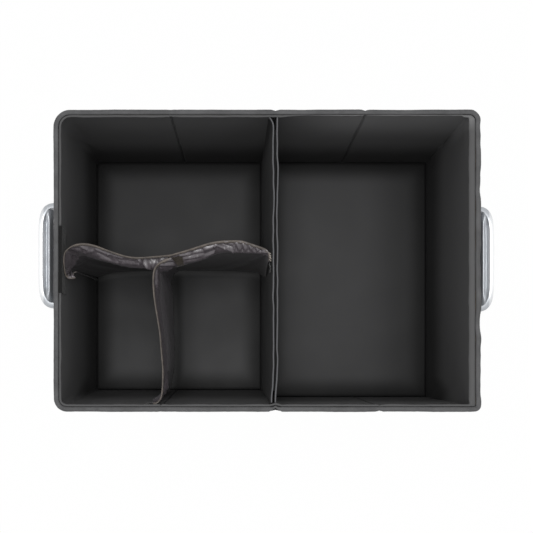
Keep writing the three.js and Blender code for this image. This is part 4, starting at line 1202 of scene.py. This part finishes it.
# %% Stitches of the cover
seam_z = 5 * MM
bottom_row = ring(COVER_INSET, seam_z, cover_push(seam_z) + 0.15 * MM)
fold_rows = []
for on_side, place in sewn_lines:
    for offset in (-6.5 * MM, 6.5 * MM):
        column = np.argmin(np.where(on_side, np.abs(rim_plan[:, 0] - place - offset), 9))
        fold_rows.append([ring(COVER_INSET, z, cover_push(z) + 0.15 * MM)[column]
                          for z in np.linspace(9 * MM, 244 * MM, 40)])
stitched("cover_seam_stitches", [bottom_row], "cover", closed=True, Seed=4)
fold_stitches = stitched("cover_fold_stitches", fold_rows, "cover", Seed=5)
print("fold stitches:", len(fold_stitches.data.polygons) // 24)

# %% [markdown]
# ## Rivets
# Each rivet goes through the grip's foot, the cover, the end board and the plate behind it. A low dome
# on a shank is enough for one, and the tree turns the left ones round.

# %% Rivets
def rivet_tree():
    tree, group_in, group_out = node_tree("rivets_on_points", [
        ("Head", "Float", 4.2 * MM), ("Dome", "Float", 1.9 * MM), ("Shank", "Float", 2 * MM),
        ("Grip", "Float", 11 * MM), ("Material", "Material", None)])
    get = group_in.outputs
    dome_ball = tree_node(tree, "GeometryNodeMeshUVSphere", {"Segments": 24, "Rings": 14, "Radius": 1.0})
    size = tree_node(tree, "ShaderNodeCombineXYZ", {"X": get["Dome"], "Y": get["Head"], "Z": get["Head"]})
    dome_mesh = tree_node(tree, "GeometryNodeTransform", {
        "Geometry": dome_ball.outputs[0], "Scale": size.outputs[0]})
    shank = tree_node(tree, "GeometryNodeMeshCylinder", {
        "Vertices": 20, "Radius": get["Shank"], "Depth": get["Grip"]})
    back = tree_node(tree, "ShaderNodeMath", {0: get["Grip"], 1: -0.5}, operation="MULTIPLY")
    away = tree_node(tree, "ShaderNodeCombineXYZ", {"X": back.outputs[0]})
    shank_mesh = tree_node(tree, "GeometryNodeTransform", {
        "Geometry": shank.outputs[0], "Rotation": (0, math.pi / 2, 0), "Translation": away.outputs[0]})
    both = tree_node(tree, "GeometryNodeJoinGeometry")
    tree.links.new(dome_mesh.outputs[0], both.inputs[0])
    tree.links.new(shank_mesh.outputs[0], both.inputs[0])
    side = tree_node(tree, "GeometryNodeInputPosition")
    split = tree_node(tree, "ShaderNodeSeparateXYZ", {"Vector": side.outputs[0]})
    left = tree_node(tree, "ShaderNodeMath", {0: split.outputs["X"], 1: 0.0}, operation="LESS_THAN")
    half_turn = tree_node(tree, "ShaderNodeMath", {0: left.outputs[0], 1: math.pi}, operation="MULTIPLY")
    turn = tree_node(tree, "ShaderNodeCombineXYZ", {"Z": half_turn.outputs[0]})
    placed = tree_node(tree, "GeometryNodeInstanceOnPoints", {
        "Points": get["Geometry"], "Instance": both.outputs[0], "Rotation": turn.outputs[0]})
    return finish_tree(tree, group_in, group_out, placed.outputs[0])


rivet_nodes = [f"{side}_rivet_{i}" for side in ("left", "right") for i in range(1, 5)]
rivet_points = []
for name in rivet_nodes:
    low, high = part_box(name)
    seat = low.x + 1.9 * MM if name.startswith("left") else high.x - 1.9 * MM
    rivet_points.append((seat, (low.y + high.y) / 2, (low.z + high.z) / 2))
rivets = grown("domed_rivets", rivet_tree(), rivet_points, Material=steel_finish)
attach(rivets, "root")
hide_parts(*rivet_nodes)
print("rivets:", len(rivet_points))

# %% [markdown]
# ## Loose cloth dividers
# The two dividers are single sheets of thin shiny cloth with a narrow tape over their top edge. They
# are longer than the room they hang in, so they wave, roll over at the left wall and crease. Each
# starts as a surface between the top and bottom lines that the photo shows. The cloth is cut a little
# larger than that surface, so a short cloth simulation has to put the surplus into creases.

# %% Lines and sheets
CLOTH_STEP = 2.8 * MM
PIXELS_PER_MM = 0.7926


def front_direction(line):
    """The sideways direction at each point of a line, to the right of the way it runs."""
    tangent = np.gradient(line[:, :2], axis=0)
    tangent /= np.linalg.norm(tangent, axis=1)[:, None]
    return np.column_stack([tangent[:, 1], -tangent[:, 0], np.zeros(len(line))])


def photo_line(points):
    """Places in millimetres of points given as x and y in the photo's pixels and a height in
    millimetres."""
    line = []
    for across, down, height in points:
        spread = 1 + (rim_high.z - height * MM) / CAMERA_ABOVE_RIM
        x = ((across - 245) * spread - 22) / PIXELS_PER_MM
        y = ((358 - down) * spread - 97.8) / PIXELS_PER_MM
        line.append((x, y, height))
    return line


def matched_lines(lines, count):
    """Smooth lines of count points through lists of places in millimetres. The lists match one by one,
    so the columns between the lines run straight down."""
    along = lengths(lines[0])
    wanted = np.linspace(0, along[-1], count)
    smooth = []
    for line in lines:
        points = np.column_stack([np.interp(wanted, along, axis) for axis in np.transpose(line)]) * MM
        for _ in range(5):
            points[1:-1] = points[1:-1] / 2 + (points[:-2] + points[2:]) / 4
        smooth.append(points)
    return smooth


def hanging_sheet(top, fold, foot):
    """Rows of a sheet that leans out from its top line to a fold, and falls back under it to its foot."""
    upper = round(np.linalg.norm(top - fold, axis=1).mean() / CLOTH_STEP)
    lower = round(np.linalg.norm(fold - foot, axis=1).mean() / CLOTH_STEP)
    lift = np.array([0, 0, 4.5 * MM])
    sheet = [top + (fold - top) * down + lift * math.sin(math.pi * down)
             for down in np.arange(upper) / upper]
    for down in np.arange(lower + 1) / lower:
        back = 1 - 0.45 * math.exp(-down / 0.06) - 0.55 * (1 - down) ** 1.4
        sheet.append(fold + (foot - fold) * np.array([back, back, down]))
    return np.array(sheet), upper


def finer(rows, times):
    """More rows between the rows of a sheet, smoothly joined."""
    ends = np.concatenate([2 * rows[:1] - rows[1:2], rows, 2 * rows[-1:] - rows[-2:-1]])
    a, b, c, d = ends[:-3], ends[1:-2], ends[2:-1], ends[3:]
    between_rows = [b + 0.5 * t * (c - a + t * (2 * a - 5 * b + 4 * c - d + t * (3 * (b - c) + d - a)))
                    for t in np.arange(times) / times]
    return np.concatenate([np.stack(between_rows, axis=1).reshape(-1, *rows.shape[1:]), rows[-1:]])


def fine_sheet(sheet):
    """Twice the rows and three times the columns of a sheet, enough for sharp creases."""
    return finer(finer(sheet, 2).swapaxes(0, 1), 3).swapaxes(0, 1)


# %% [markdown]
# ## Creases
# A crease is a stroke between two places in the photo. Points of the sheet near to it, as the camera
# sees them, are pushed along the sheet's normal.

# %% Creases
def picture_place(points):
    """Where points fall in the photo, in its pixels."""
    shrink = CAMERA_ABOVE_RIM / (CAMERA_ABOVE_RIM + rim_high.z - points[..., 2])
    across = 245 + (22 + points[..., 0] * PIXELS_PER_MM / MM) * shrink
    down = 358 - (97.8 + points[..., 1] * PIXELS_PER_MM / MM) * shrink
    return np.stack([across, down], axis=-1)


def sheet_normals(sheet):
    """Unit normals of a sheet, turned to the side that the camera sees."""
    normal = np.cross(np.gradient(sheet, axis=0), np.gradient(sheet, axis=1))
    normal /= np.linalg.norm(normal, axis=2)[..., None]
    return normal * np.sign((normal * (np.array(camera.location) - sheet)).sum(2).mean())


def creased(sheet, strokes):
    """Presses ridges and hollows into a sheet where the photo shows them. A stroke runs between two
    places in the photo's pixels, and has a half width in pixels and a height in millimetres."""
    place = picture_place(sheet)
    push = np.zeros(sheet.shape[:2])
    for x0, y0, x1, y1, half, height in strokes:
        start, run = np.array([x0, y0]), np.array([x1 - x0, y1 - y0])
        share = np.clip((place - start) @ run / (run @ run), 0, 1)
        away = np.linalg.norm(place - start - share[..., None] * run, axis=-1) / half
        push += height * MM * np.exp(-away ** 2)
    down = np.linalg.norm(sheet - sheet[0], axis=2)
    push *= smooth_step(down, 1 * MM, 5 * MM) * (1 - smooth_step(down, 60 * MM, 90 * MM))
    return sheet + sheet_normals(sheet) * push[..., None]


# %% [markdown]
# ## Cloth simulation
# The simulation knows the sheet in two forms: as it hangs and as it was cut flat. The cut form is a
# little larger, and the weights say how firmly each point keeps its place while the rest settles.

# %% Cloth simulation
def settle(name, sheet, surplus, held, hold, bending, frames=26, seed=1):
    """Cloth simulation. surplus is how much wider each column was cut than it hangs, held the firmly
    held points (1 is fixed), and hold how strongly the rest keeps to the sheet's own shape."""
    count, width = sheet.shape[:2]
    draw = np.random.default_rng(seed)
    start = sheet + draw.normal(0, 0.12 * MM, sheet.shape) * (held < 0.99)[..., None]
    piece = skin(name + "_cloth", start)
    steps = np.linalg.norm(np.diff(sheet, axis=1), axis=2).mean(0) * (1 + surplus[1:])
    drops = np.linalg.norm(np.diff(sheet, axis=0), axis=2).mean(1) * 1.012
    across = np.concatenate([[0], np.cumsum(steps)])
    down = np.concatenate([[0], np.cumsum(drops)])
    piece.shape_key_add(name="hung")
    cut = piece.shape_key_add(name="cut_flat")
    flat = np.zeros_like(sheet)
    flat[..., 0] = across[None, :]
    flat[..., 2] = -down[:, None]
    cut.data.foreach_set("co", flat.ravel())
    group = piece.vertex_groups.new(name="held")
    for index, weight in enumerate(np.maximum(held, hold).ravel()):
        group.add([index], float(weight), "REPLACE")
    cloth = piece.modifiers.new("cloth", "CLOTH")
    settings = cloth.settings
    settings.quality = 6
    settings.mass = 0.15
    settings.tension_stiffness = settings.compression_stiffness = 12
    settings.shear_stiffness = 6
    settings.bending_stiffness = bending
    settings.tension_damping = settings.compression_damping = 8
    settings.air_damping = 2
    settings.vertex_group_mass = "held"
    settings.pin_stiffness = 1.0
    settings.rest_shape_key = cut
    cloth.collision_settings.use_collision = False
    cloth.collision_settings.use_self_collision = False
    cloth.point_cache.frame_start, cloth.point_cache.frame_end = 1, frames
    for frame_number in range(1, frames + 1):
        scene.frame_set(frame_number)
    result = piece.evaluated_get(bpy.context.evaluated_depsgraph_get()).to_mesh()
    points = np.zeros(count * width * 3)
    result.vertices.foreach_get("co", points)
    scene.frame_set(1)
    bpy.data.objects.remove(piece)
    return points.reshape(count, width, 3)


# %% [markdown]
# ## Held edges, area and thickness
# The top edge and the taped ends can't move. The fold keeps most of its form, and the foot is free.

# %% Held edges, area and thickness
TAPE_ROWS = round(33 * MM / CLOTH_STEP)


def hang(name, sheet, fold_row, surplus, firm, seed, rolled=0.0):
    """Settles a divider's sheet. surplus is how much wider it was cut, all along and more round some
    places. firm is the share of its length up to which it is held at its left end and from which its
    right end is taped down. rolled is how firmly the roll at its left end keeps its form."""
    share = np.linspace(0, 1, sheet.shape[1])
    even, *places = surplus
    gather = sum((more * np.exp(-((share - centre) / width) ** 2) for more, centre, width in places), even)
    row_down = np.arange(len(sheet))[:, None]
    kept = 0.02 + 0.35 * np.exp(-((row_down - fold_row) / 3.0) ** 2) + 0.1 * (row_down < fold_row)
    kept = kept + rolled * np.exp(-(share / 0.08) ** 2)
    held = np.zeros(sheet.shape[:2])
    held[0] = 1
    held[:, share < firm[0]] = 1
    held[:TAPE_ROWS, share > firm[1]] = 1
    return settle(name, sheet, gather, held, kept, bending=0.008, seed=seed)


def sheet_area(sheet):
    a, b, c, d = sheet[:-1, :-1], sheet[:-1, 1:], sheet[1:, 1:], sheet[1:, :-1]
    half = np.linalg.norm(np.cross(b - a, c - a), axis=2) + np.linalg.norm(np.cross(c - a, d - a), axis=2)
    return half.sum() / 2


def thick(piece, thickness):
    """Gives a sheet its thickness and bakes that into the mesh."""
    solid = piece.modifiers.new("thickness", "SOLIDIFY")
    solid.thickness, solid.offset = thickness, 0
    evaluated = piece.evaluated_get(bpy.context.evaluated_depsgraph_get())
    mesh = bpy.data.meshes.new_from_object(evaluated)
    piece.modifiers.clear()
    piece.data = mesh
    mesh.shade_smooth()
    return piece

# %% [markdown]
# ## Cross divider
# The long divider's top edge, fold and foot are read from the photo as three lines. Its left end rolls
# over where it meets the wall's loop strip, so it is kept clear of the strip. Its folds are pressed in
# afterwards, because a simulation makes soft waves and the photo shows sharp creases.

# %% Cross divider
FOOT_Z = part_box("cross_divider")[0].z / MM
LEFT_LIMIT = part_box("left_wall_loop_strip")[1].x + 0.85 * MM
WALL_ROOM = 2.5 * MM
CREASED_ROWS = 70
cross_top_line = [
    (75.5, 277.3, 236), (71, 278.8, 237), (66, 277.3, 240), (62.5, 272.5, 247), (61.3, 266.5, 252),
    (61.3, 260, 255), (62.6, 254.5, 255), (66, 249.6, 253), (72.2, 245, 250), (80.6, 243.3, 247),
    (88.3, 243.7, 246), (97.4, 246.3, 244.5), (108.1, 250.5, 243), (118.9, 254.3, 242),
    (128.8, 256.9, 241.3), (139, 257.6, 241), (148, 256.9, 241), (156, 256.2, 241), (163.5, 255.6, 240.5),
    (170.7, 255, 240), (178.2, 252.6, 240.5), (187.3, 250.1, 241), (199.8, 246, 241.5), (209.7, 242.8, 242),
    (220, 241.1, 242.5), (231, 240.6, 243.5), (242, 240.8, 244.5), (253.6, 244.7, 246), (263, 248, 247.2),
    (268, 249.6, 248), (269.4, 253, 248), (269.4, 260.3, 248)]
cross_fold_line = [
    (73, 274.2, 230), (70.5, 274.2, 228), (68, 272.8, 224), (67.6, 270.3, 218), (71.5, 267, 212),
    (74.8, 262, 209), (76.3, 257.3, 210), (77.3, 254, 214), (80.5, 254.6, 218), (86.5, 257.2, 220),
    (93, 259.3, 220), (101, 261.4, 219.5), (111, 263.9, 219), (121, 266.3, 218), (130.3, 267.7, 217),
    (140.5, 268.3, 217), (149.5, 268.6, 217), (157.5, 268.6, 217), (165, 268.2, 217), (172.5, 267.3, 217),
    (181, 266, 218), (191, 264, 219), (203, 260, 221), (212, 255.3, 225), (222, 251.5, 229),
    (232, 251.3, 231), (242.5, 252.2, 232), (253.8, 252.6, 233), (262.5, 252.8, 236), (267, 253.2, 238),
    (268.6, 256, 237), (268.6, 261.5, 236)]
cross_foot_line = [(x, y, FOOT_Z) for x, y in (
    (-252, -4), (-253.3, -4.5), (-254.4, -4.5), (-255, -3.5), (-255, -1.5), (-254.6, 0.8), (-253.4, 3.6),
    (-251, 6.2), (-246, 8.5), (-237, 10.8), (-228, 12), (-217, 12.6), (-205, 12.8), (-192, 13),
    (-180, 13.3), (-168, 13.3), (-157, 12.5), (-147, 11.8), (-138, 11), (-129, 10.5), (-119, 10.8),
    (-107, 12), (-92, 14), (-78, 16), (-65, 18), (-53, 19.3), (-40, 20), (-26, 20), (-15, 18.5), (-7, 15.5),
    (-3.8, 8), (-3.6, -2))]
cross_columns = 124
cross_top, cross_fold, cross_foot = matched_lines(
    [photo_line(cross_top_line), photo_line(cross_fold_line), cross_foot_line], cross_columns)
cross_sheet, fold_row = hanging_sheet(cross_top, cross_fold, cross_foot)
past_wall = np.clip(cross_sheet[..., 0] - LEFT_LIMIT - WALL_ROOM, None, 0)
cross_sheet[..., 0] += WALL_ROOM * (np.exp(past_wall / WALL_ROOM) - 1) - past_wall
cross_settled = hang("cross", cross_sheet, fold_row, (0.012, (0.04, 0.06, 0.06), (0.06, 0.87, 0.06)),
                     firm=(0, 0.965), seed=7, rolled=0.4)
cross_strokes = [
    (67, 249.3, 77.5, 253, 1.0, -3.0), (68, 251.3, 75.5, 254.6, 1.0, 1.6),
    (73, 254.5, 72.4, 261, 0.9, -2.6), (70.3, 262, 69.2, 254, 0.9, 1.2),
    (66.5, 267.5, 64, 260.5, 1.6, -2.6), (67, 270, 74.5, 262.5, 1.0, 1.6),
    (63.5, 271.5, 67.5, 269.8, 0.8, 1.5), (67.5, 269.8, 70.5, 271.5, 0.7, 1.2),
    (64, 275, 67, 271.5, 0.7, 1.8), (68, 277.5, 68.3, 272, 0.7, 1.8), (72.5, 277.5, 71, 272, 0.8, 2.0),
    (66, 275.8, 67.2, 273.3, 0.5, -1.6), (70.2, 277, 69.8, 273.3, 0.5, -1.6),
    (74.6, 276, 72.8, 272.5, 0.5, -1.4), (76.5, 272.8, 91, 271.2, 0.6, 1.0),
    (77, 275.5, 92, 273.5, 0.6, 0.9), (78, 258.5, 85, 258.6, 1.5, 2.2), (75.5, 264, 82, 261.5, 1.2, 1.2),
    (68, 247.3, 80, 248.8, 1.4, -2.6), (81, 246.5, 87, 249, 1.0, 1.4), (84, 252, 92, 250.5, 1.3, 1.5),
    (96, 249, 108, 253.6, 0.8, 1.4), (108, 253.6, 122, 257.6, 0.7, 1.0), (97, 252, 110, 258.5, 0.8, -1.4),
    (100, 257.5, 118, 262.6, 1.0, 1.2), (118, 259, 134, 261, 0.7, -1.2), (122, 262.8, 140, 264, 0.8, 1.2),
    (86, 254.5, 98, 258, 0.8, -0.9), (128, 264.6, 142, 266.3, 0.7, -1.0),
    (137, 259.5, 142, 264.5, 1.0, -2.4), (138, 259, 152, 267.2, 1.2, 3.6),
    (146, 264.4, 154.5, 265.6, 1.4, 2.4), (143.5, 260, 157, 261.5, 1.5, -6.0),
    (157, 259.8, 168, 257.4, 1.2, -3.6), (180, 254.8, 190, 253.3, 1.0, 2.0),
    (184, 258, 198, 255.6, 1.1, 1.8), (186.5, 261.2, 199, 258.8, 0.9, 1.2),
    (188, 255.8, 203, 252.8, 0.8, -1.4), (193.5, 250.6, 203, 248.8, 1.1, -2.6),
    (203.5, 248.6, 214.5, 245.8, 1.5, 2.4), (205, 253.4, 214, 250, 0.9, -1.5),
    (204, 257.5, 213, 252.6, 0.9, 1.2), (188, 264.2, 200, 262, 0.8, -1.2),
    (215.5, 244.1, 225, 248, 0.8, 1.8), (225, 248, 233, 251, 0.8, 1.8), (219, 243.6, 232, 247, 1.2, -2.8),
    (233, 251.2, 266, 251.8, 0.8, 1.2), (213.5, 246.5, 216.5, 252.5, 0.8, -2.0)]
for pleat in range(10):
    left = 233.5 + 3.1 * pleat
    cross_strokes.append((left, 242.8 + 0.55 * max(pleat - 3, 0), left + 2.6, 249.3 + 0.1 * pleat, 0.6,
                          1.5 if pleat % 2 else -1.9))
cross_cloth = creased(fine_sheet(cross_settled), cross_strokes)
cross_cloth[..., 0] = np.maximum(cross_cloth[..., 0], LEFT_LIMIT)
last_row = len(cross_cloth) - 1
cross_cloth = cross_cloth[np.unique(np.r_[:CREASED_ROWS, CREASED_ROWS:last_row:2, last_row])]
print("cross divider's area in cm2:", round(sheet_area(cross_cloth) * 1e4),
      "fold at mm:", fold_row * CLOTH_STEP / MM)

cross_divider = thick(skin("cross_cloth_divider", cross_cloth), 0.6 * MM)
dress(cross_divider, cross_satin)
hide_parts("cross_divider")

# %% [markdown]
# ## Short divider
# The short divider is made in the same way. Its back end clings to the loop patch on the long one, and
# its front end to the loop strip on the front wall.

# %% Short divider
short_top_line = [
    (171, 257.6, 239), (166.5, 258.8, 239), (162.4, 260.8, 239.5), (158.5, 263, 240), (155.3, 265.8, 241),
    (153.6, 269.8, 242), (152.9, 276, 243), (152.9, 285, 243), (153.8, 296, 242), (155.5, 307.8, 241),
    (157.6, 320, 240), (159.6, 332.6, 239.5), (160.6, 345, 239), (161.6, 357, 239.5), (162.7, 369, 240.5),
    (162.4, 384, 242.5), (161.6, 395, 244.5), (160, 400.3, 246), (156.8, 403.3, 247), (153, 404.4, 247)]
short_fold_line = [
    (177.3, 265.4, 222), (172.5, 268.4, 219), (167.5, 270, 217), (163, 271.2, 215), (160.3, 271.8, 215),
    (159.4, 273.8, 217), (159.6, 279, 218), (159.9, 286, 219), (159.8, 296, 220), (161, 307.8, 219),
    (163, 320, 218), (165, 332.6, 217), (166.3, 345, 217), (167.3, 357, 218), (168.5, 369, 219),
    (168.3, 383, 222), (165.5, 392.5, 225), (162.5, 397.5, 228), (158.3, 400.8, 230), (153.8, 402, 232)]
short_foot_line = [(x, y, FOOT_Z) for x, y in (
    (-129, 8.5), (-133, 7.5), (-136, 5.5), (-138, 2.5), (-139, -1), (-139.5, -6), (-139.7, -12),
    (-139.8, -20), (-139.8, -30), (-139.3, -44), (-137, -62), (-134.5, -80), (-132, -99), (-130.3, -116),
    (-131.5, -134), (-135.5, -150), (-141, -162), (-145, -167), (-150, -169.5), (-155, -170.5))]
short_columns = 86
short_top, short_fold, short_foot = matched_lines(
    [photo_line(short_top_line), photo_line(short_fold_line), short_foot_line], short_columns)
short_sheet, short_fold_row = hanging_sheet(short_top, short_fold, short_foot)
short_settled = hang("short", short_sheet, short_fold_row, (0.02, (0.06, 0.86, 0.06), (0.05, 0.16, 0.05)),
                     firm=(0.13, 0.95), seed=9)
short_strokes = [
    (160, 264.4, 174.5, 264.6, 0.9, 1.8), (161, 268, 168, 270.8, 0.8, 1.6), (163, 262, 170, 259, 0.8, 1.4),
    (160, 266.6, 174, 267, 0.7, -2.0), (164, 262.8, 173, 261.8, 0.7, -1.6),
    (155.4, 270, 154.8, 284, 0.8, -1.4), (157, 270, 156.8, 287, 0.9, 1.6), (159, 288, 160, 310, 0.9, -0.8),
    (171, 376, 164.5, 393, 0.9, 2.0), (168, 372, 163.5, 388, 0.8, -1.6), (161.2, 398.5, 154, 404, 0.8, 1.5),
    (165.5, 390, 158, 401, 0.8, -1.6), (161.5, 300, 166, 345, 1.0, -0.8), (165, 305, 171, 350, 1.2, 0.8)]
short_cloth = creased(fine_sheet(short_settled), short_strokes)
print("short divider's area in cm2:", round(sheet_area(short_cloth) * 1e4),
      "fold at mm:", short_fold_row * CLOTH_STEP / MM)
short_divider = thick(skin("short_cloth_divider", short_cloth), 0.6 * MM)
dress(short_divider, short_satin)
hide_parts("short_divider")

# %% [markdown]
# ## Tape over each top edge
# A thin tape is folded over each divider's raw edge. It takes its place from the cloth's first rows,
# so it follows every wave, and its lower edges are a little ragged.

# %% Tape over each top edge
def folded_tape(name, cloth, drop, node_name):
    """A thin tape folded over the top edge of a sheet, following its first rows."""
    top = cloth[0]
    out = front_direction(top)
    under = cloth[2] - top
    under /= np.linalg.norm(under, axis=1)[:, None]
    width, half = 0.35 * MM, 0.45 * MM
    ragged = waves(lengths(top), 61, [(0.011, 0.45 * MM), (0.004, 0.2 * MM)])
    rows = []
    for point, side, fall, wander in zip(top, out, under, ragged):
        low = drop + wander
        outline = [(-half - width, low), (-half - width, 0.4 * MM), (-half * 1.4, -0.5 * MM),
                   (0, -0.75 * MM), (half * 1.4, -0.5 * MM), (half + width, 0.4 * MM), (half + width, low),
                   (half, low), (half, 0.3 * MM), (half * 0.5, 0), (-half * 0.5, 0), (-half, 0.3 * MM),
                   (-half, low)]
        rows.append([point + side * a + fall * b for a, b in outline])
    tape = skin(name, rows, closed=True, caps="fan")
    dress(tape, edge_tape)
    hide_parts(node_name)
    return tape


cross_tape = folded_tape("cross_divider_top_tape", cross_cloth, 2.2 * MM, "cross_divider_edge_tape")
short_tape = folded_tape("short_divider_top_tape", short_cloth, 2.2 * MM, "short_divider_edge_tape")

# %% [markdown]
# ## Pale stitches on the tape
# The tape's ends are sewn off with pale thread: down the right end, and round the gathered left one.

# %% Pale stitches on the tape
end_line = cross_cloth[0, -12:] + np.array([0.3, 0, 1.3]) * MM
end_rows = [end_line[::2], end_line[1::2] + np.array([1.3, 0, 0]) * MM]
gathered_rows = slice(14, 40)
tuft = cross_cloth[gathered_rows, 1] + sheet_normals(cross_cloth)[gathered_rows, 1] * 0.5 * MM
stitched("divider_end_stitches", end_rows, "edge_tape", pale_thread, Seed=6,
         Pitch=2.3 * MM, Length=2.6 * MM, Thread=1.5 * MM, Unevenness=0.5)
stitched("gathered_end_stitches", [tuft], "edge_tape", pale_thread, Seed=8,
         Pitch=2.6 * MM, Length=2.2 * MM, Thread=0.55 * MM, Unevenness=0.7)

# %% [markdown]
# ## Loop patch
# The patch of loop pile that the short divider's flap holds to follows the wrinkled sheet.

# %% Loop patch
patch_rows, patch_columns = slice(5, 21), slice(208, 228)
patch_normals = sheet_normals(cross_cloth)[patch_rows, patch_columns]
patch_grid = cross_cloth[patch_rows, patch_columns] + patch_normals * 0.9 * MM
loop_patch = thick(skin("loop_patch", patch_grid), 0.6 * MM)
dress(loop_patch, patch_pile)
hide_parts("cross_divider_loop_patch")

# %% [markdown]
# ## Floor, light and the white background
# The object stands on a pale floor in plain soft light. The photo's background is pure white, so what
# the camera sees of the floor is lifted to white in its material, and only a faint shadow is left. The
# sky is white to the camera and in reflections too, and lights the cloth at a plainer level.

# %% Floor and world
def seen_directly(owner):
    """1 for rays from the camera, a mirror or a glass, and 0 for rays that only carry light."""
    rays = node(owner, "ShaderNodeLightPath").outputs
    mirrored = maths(owner, "MAXIMUM", rays["Is Glossy Ray"], rays["Is Transmission Ray"])
    return maths(owner, "MAXIMUM", rays["Is Camera Ray"], mirrored)


FLOOR_WHITE = 0.985
SKY_LIGHT = 0.6

floor_mesh = bpy.data.meshes.new("studio_floor")
corners = [(x, y, -0.6 * MM) for x, y in ((-6, -6), (6, -6), (6, 6), (-6, 6))]
floor_mesh.from_pydata(corners, [], [(0, 1, 2, 3)])
studio_floor = bpy.data.objects.new("studio_floor", floor_mesh)
scene.collection.objects.link(studio_floor)
floor_finish, floor_shader = new_finish("pale_floor", 0.9, colour=(0.85, 0.85, 0.85))
glow = node(floor_finish, "ShaderNodeEmission", {"Color": (1, 1, 1, 1), "Strength": 1.0})
direct = maths(floor_finish, "MULTIPLY", seen_directly(floor_finish), FLOOR_WHITE)
blend = node(floor_finish, "ShaderNodeMixShader", {"Fac": direct})
join(floor_finish, floor_shader.outputs[0], blend.inputs[1])
join(floor_finish, glow.outputs[0], blend.inputs[2])
join(floor_finish, blend.outputs[0], floor_finish.node_tree.nodes["Material Output"].inputs["Surface"])
floor_mesh.materials.append(floor_finish)

world = bpy.data.worlds.new("studio_world")
world.use_nodes = True
scene.world = world
sky = world.node_tree.nodes["Background"]
sky.inputs["Color"].default_value = (1, 1, 1, 1)
join(world, between(world, seen_directly(world), SKY_LIGHT, 1, 0, 1), sky.inputs["Strength"])

# %% [markdown]
# ## Lamp
# One large square lamp overhead gives the soft shadows of the photo. A small hard lamp would draw
# edges on the floor of the box that the photo doesn't have.

# %% Lamps
def lamp(name, location, target, size, power):
    data = bpy.data.lights.new(name, "AREA")
    data.shape = "SQUARE"
    data.size = size
    data.energy = power
    light = bpy.data.objects.new(name, data)
    light.location = location
    direction = np.array(target) - np.array(location)
    light.rotation_euler = Vector(direction).to_track_quat("-Z", "Y").to_euler()
    scene.collection.objects.link(light)
    return light


SOFTBOX_PLACE = (-0.08, 0.02, 2.6)
SOFTBOX_SIZE = 0.95
SOFTBOX_WATTS = 31
lamp("overhead_softbox", SOFTBOX_PLACE, (0, 0, 0.1), SOFTBOX_SIZE, SOFTBOX_WATTS)
print("lamps:", len(bpy.data.lights))
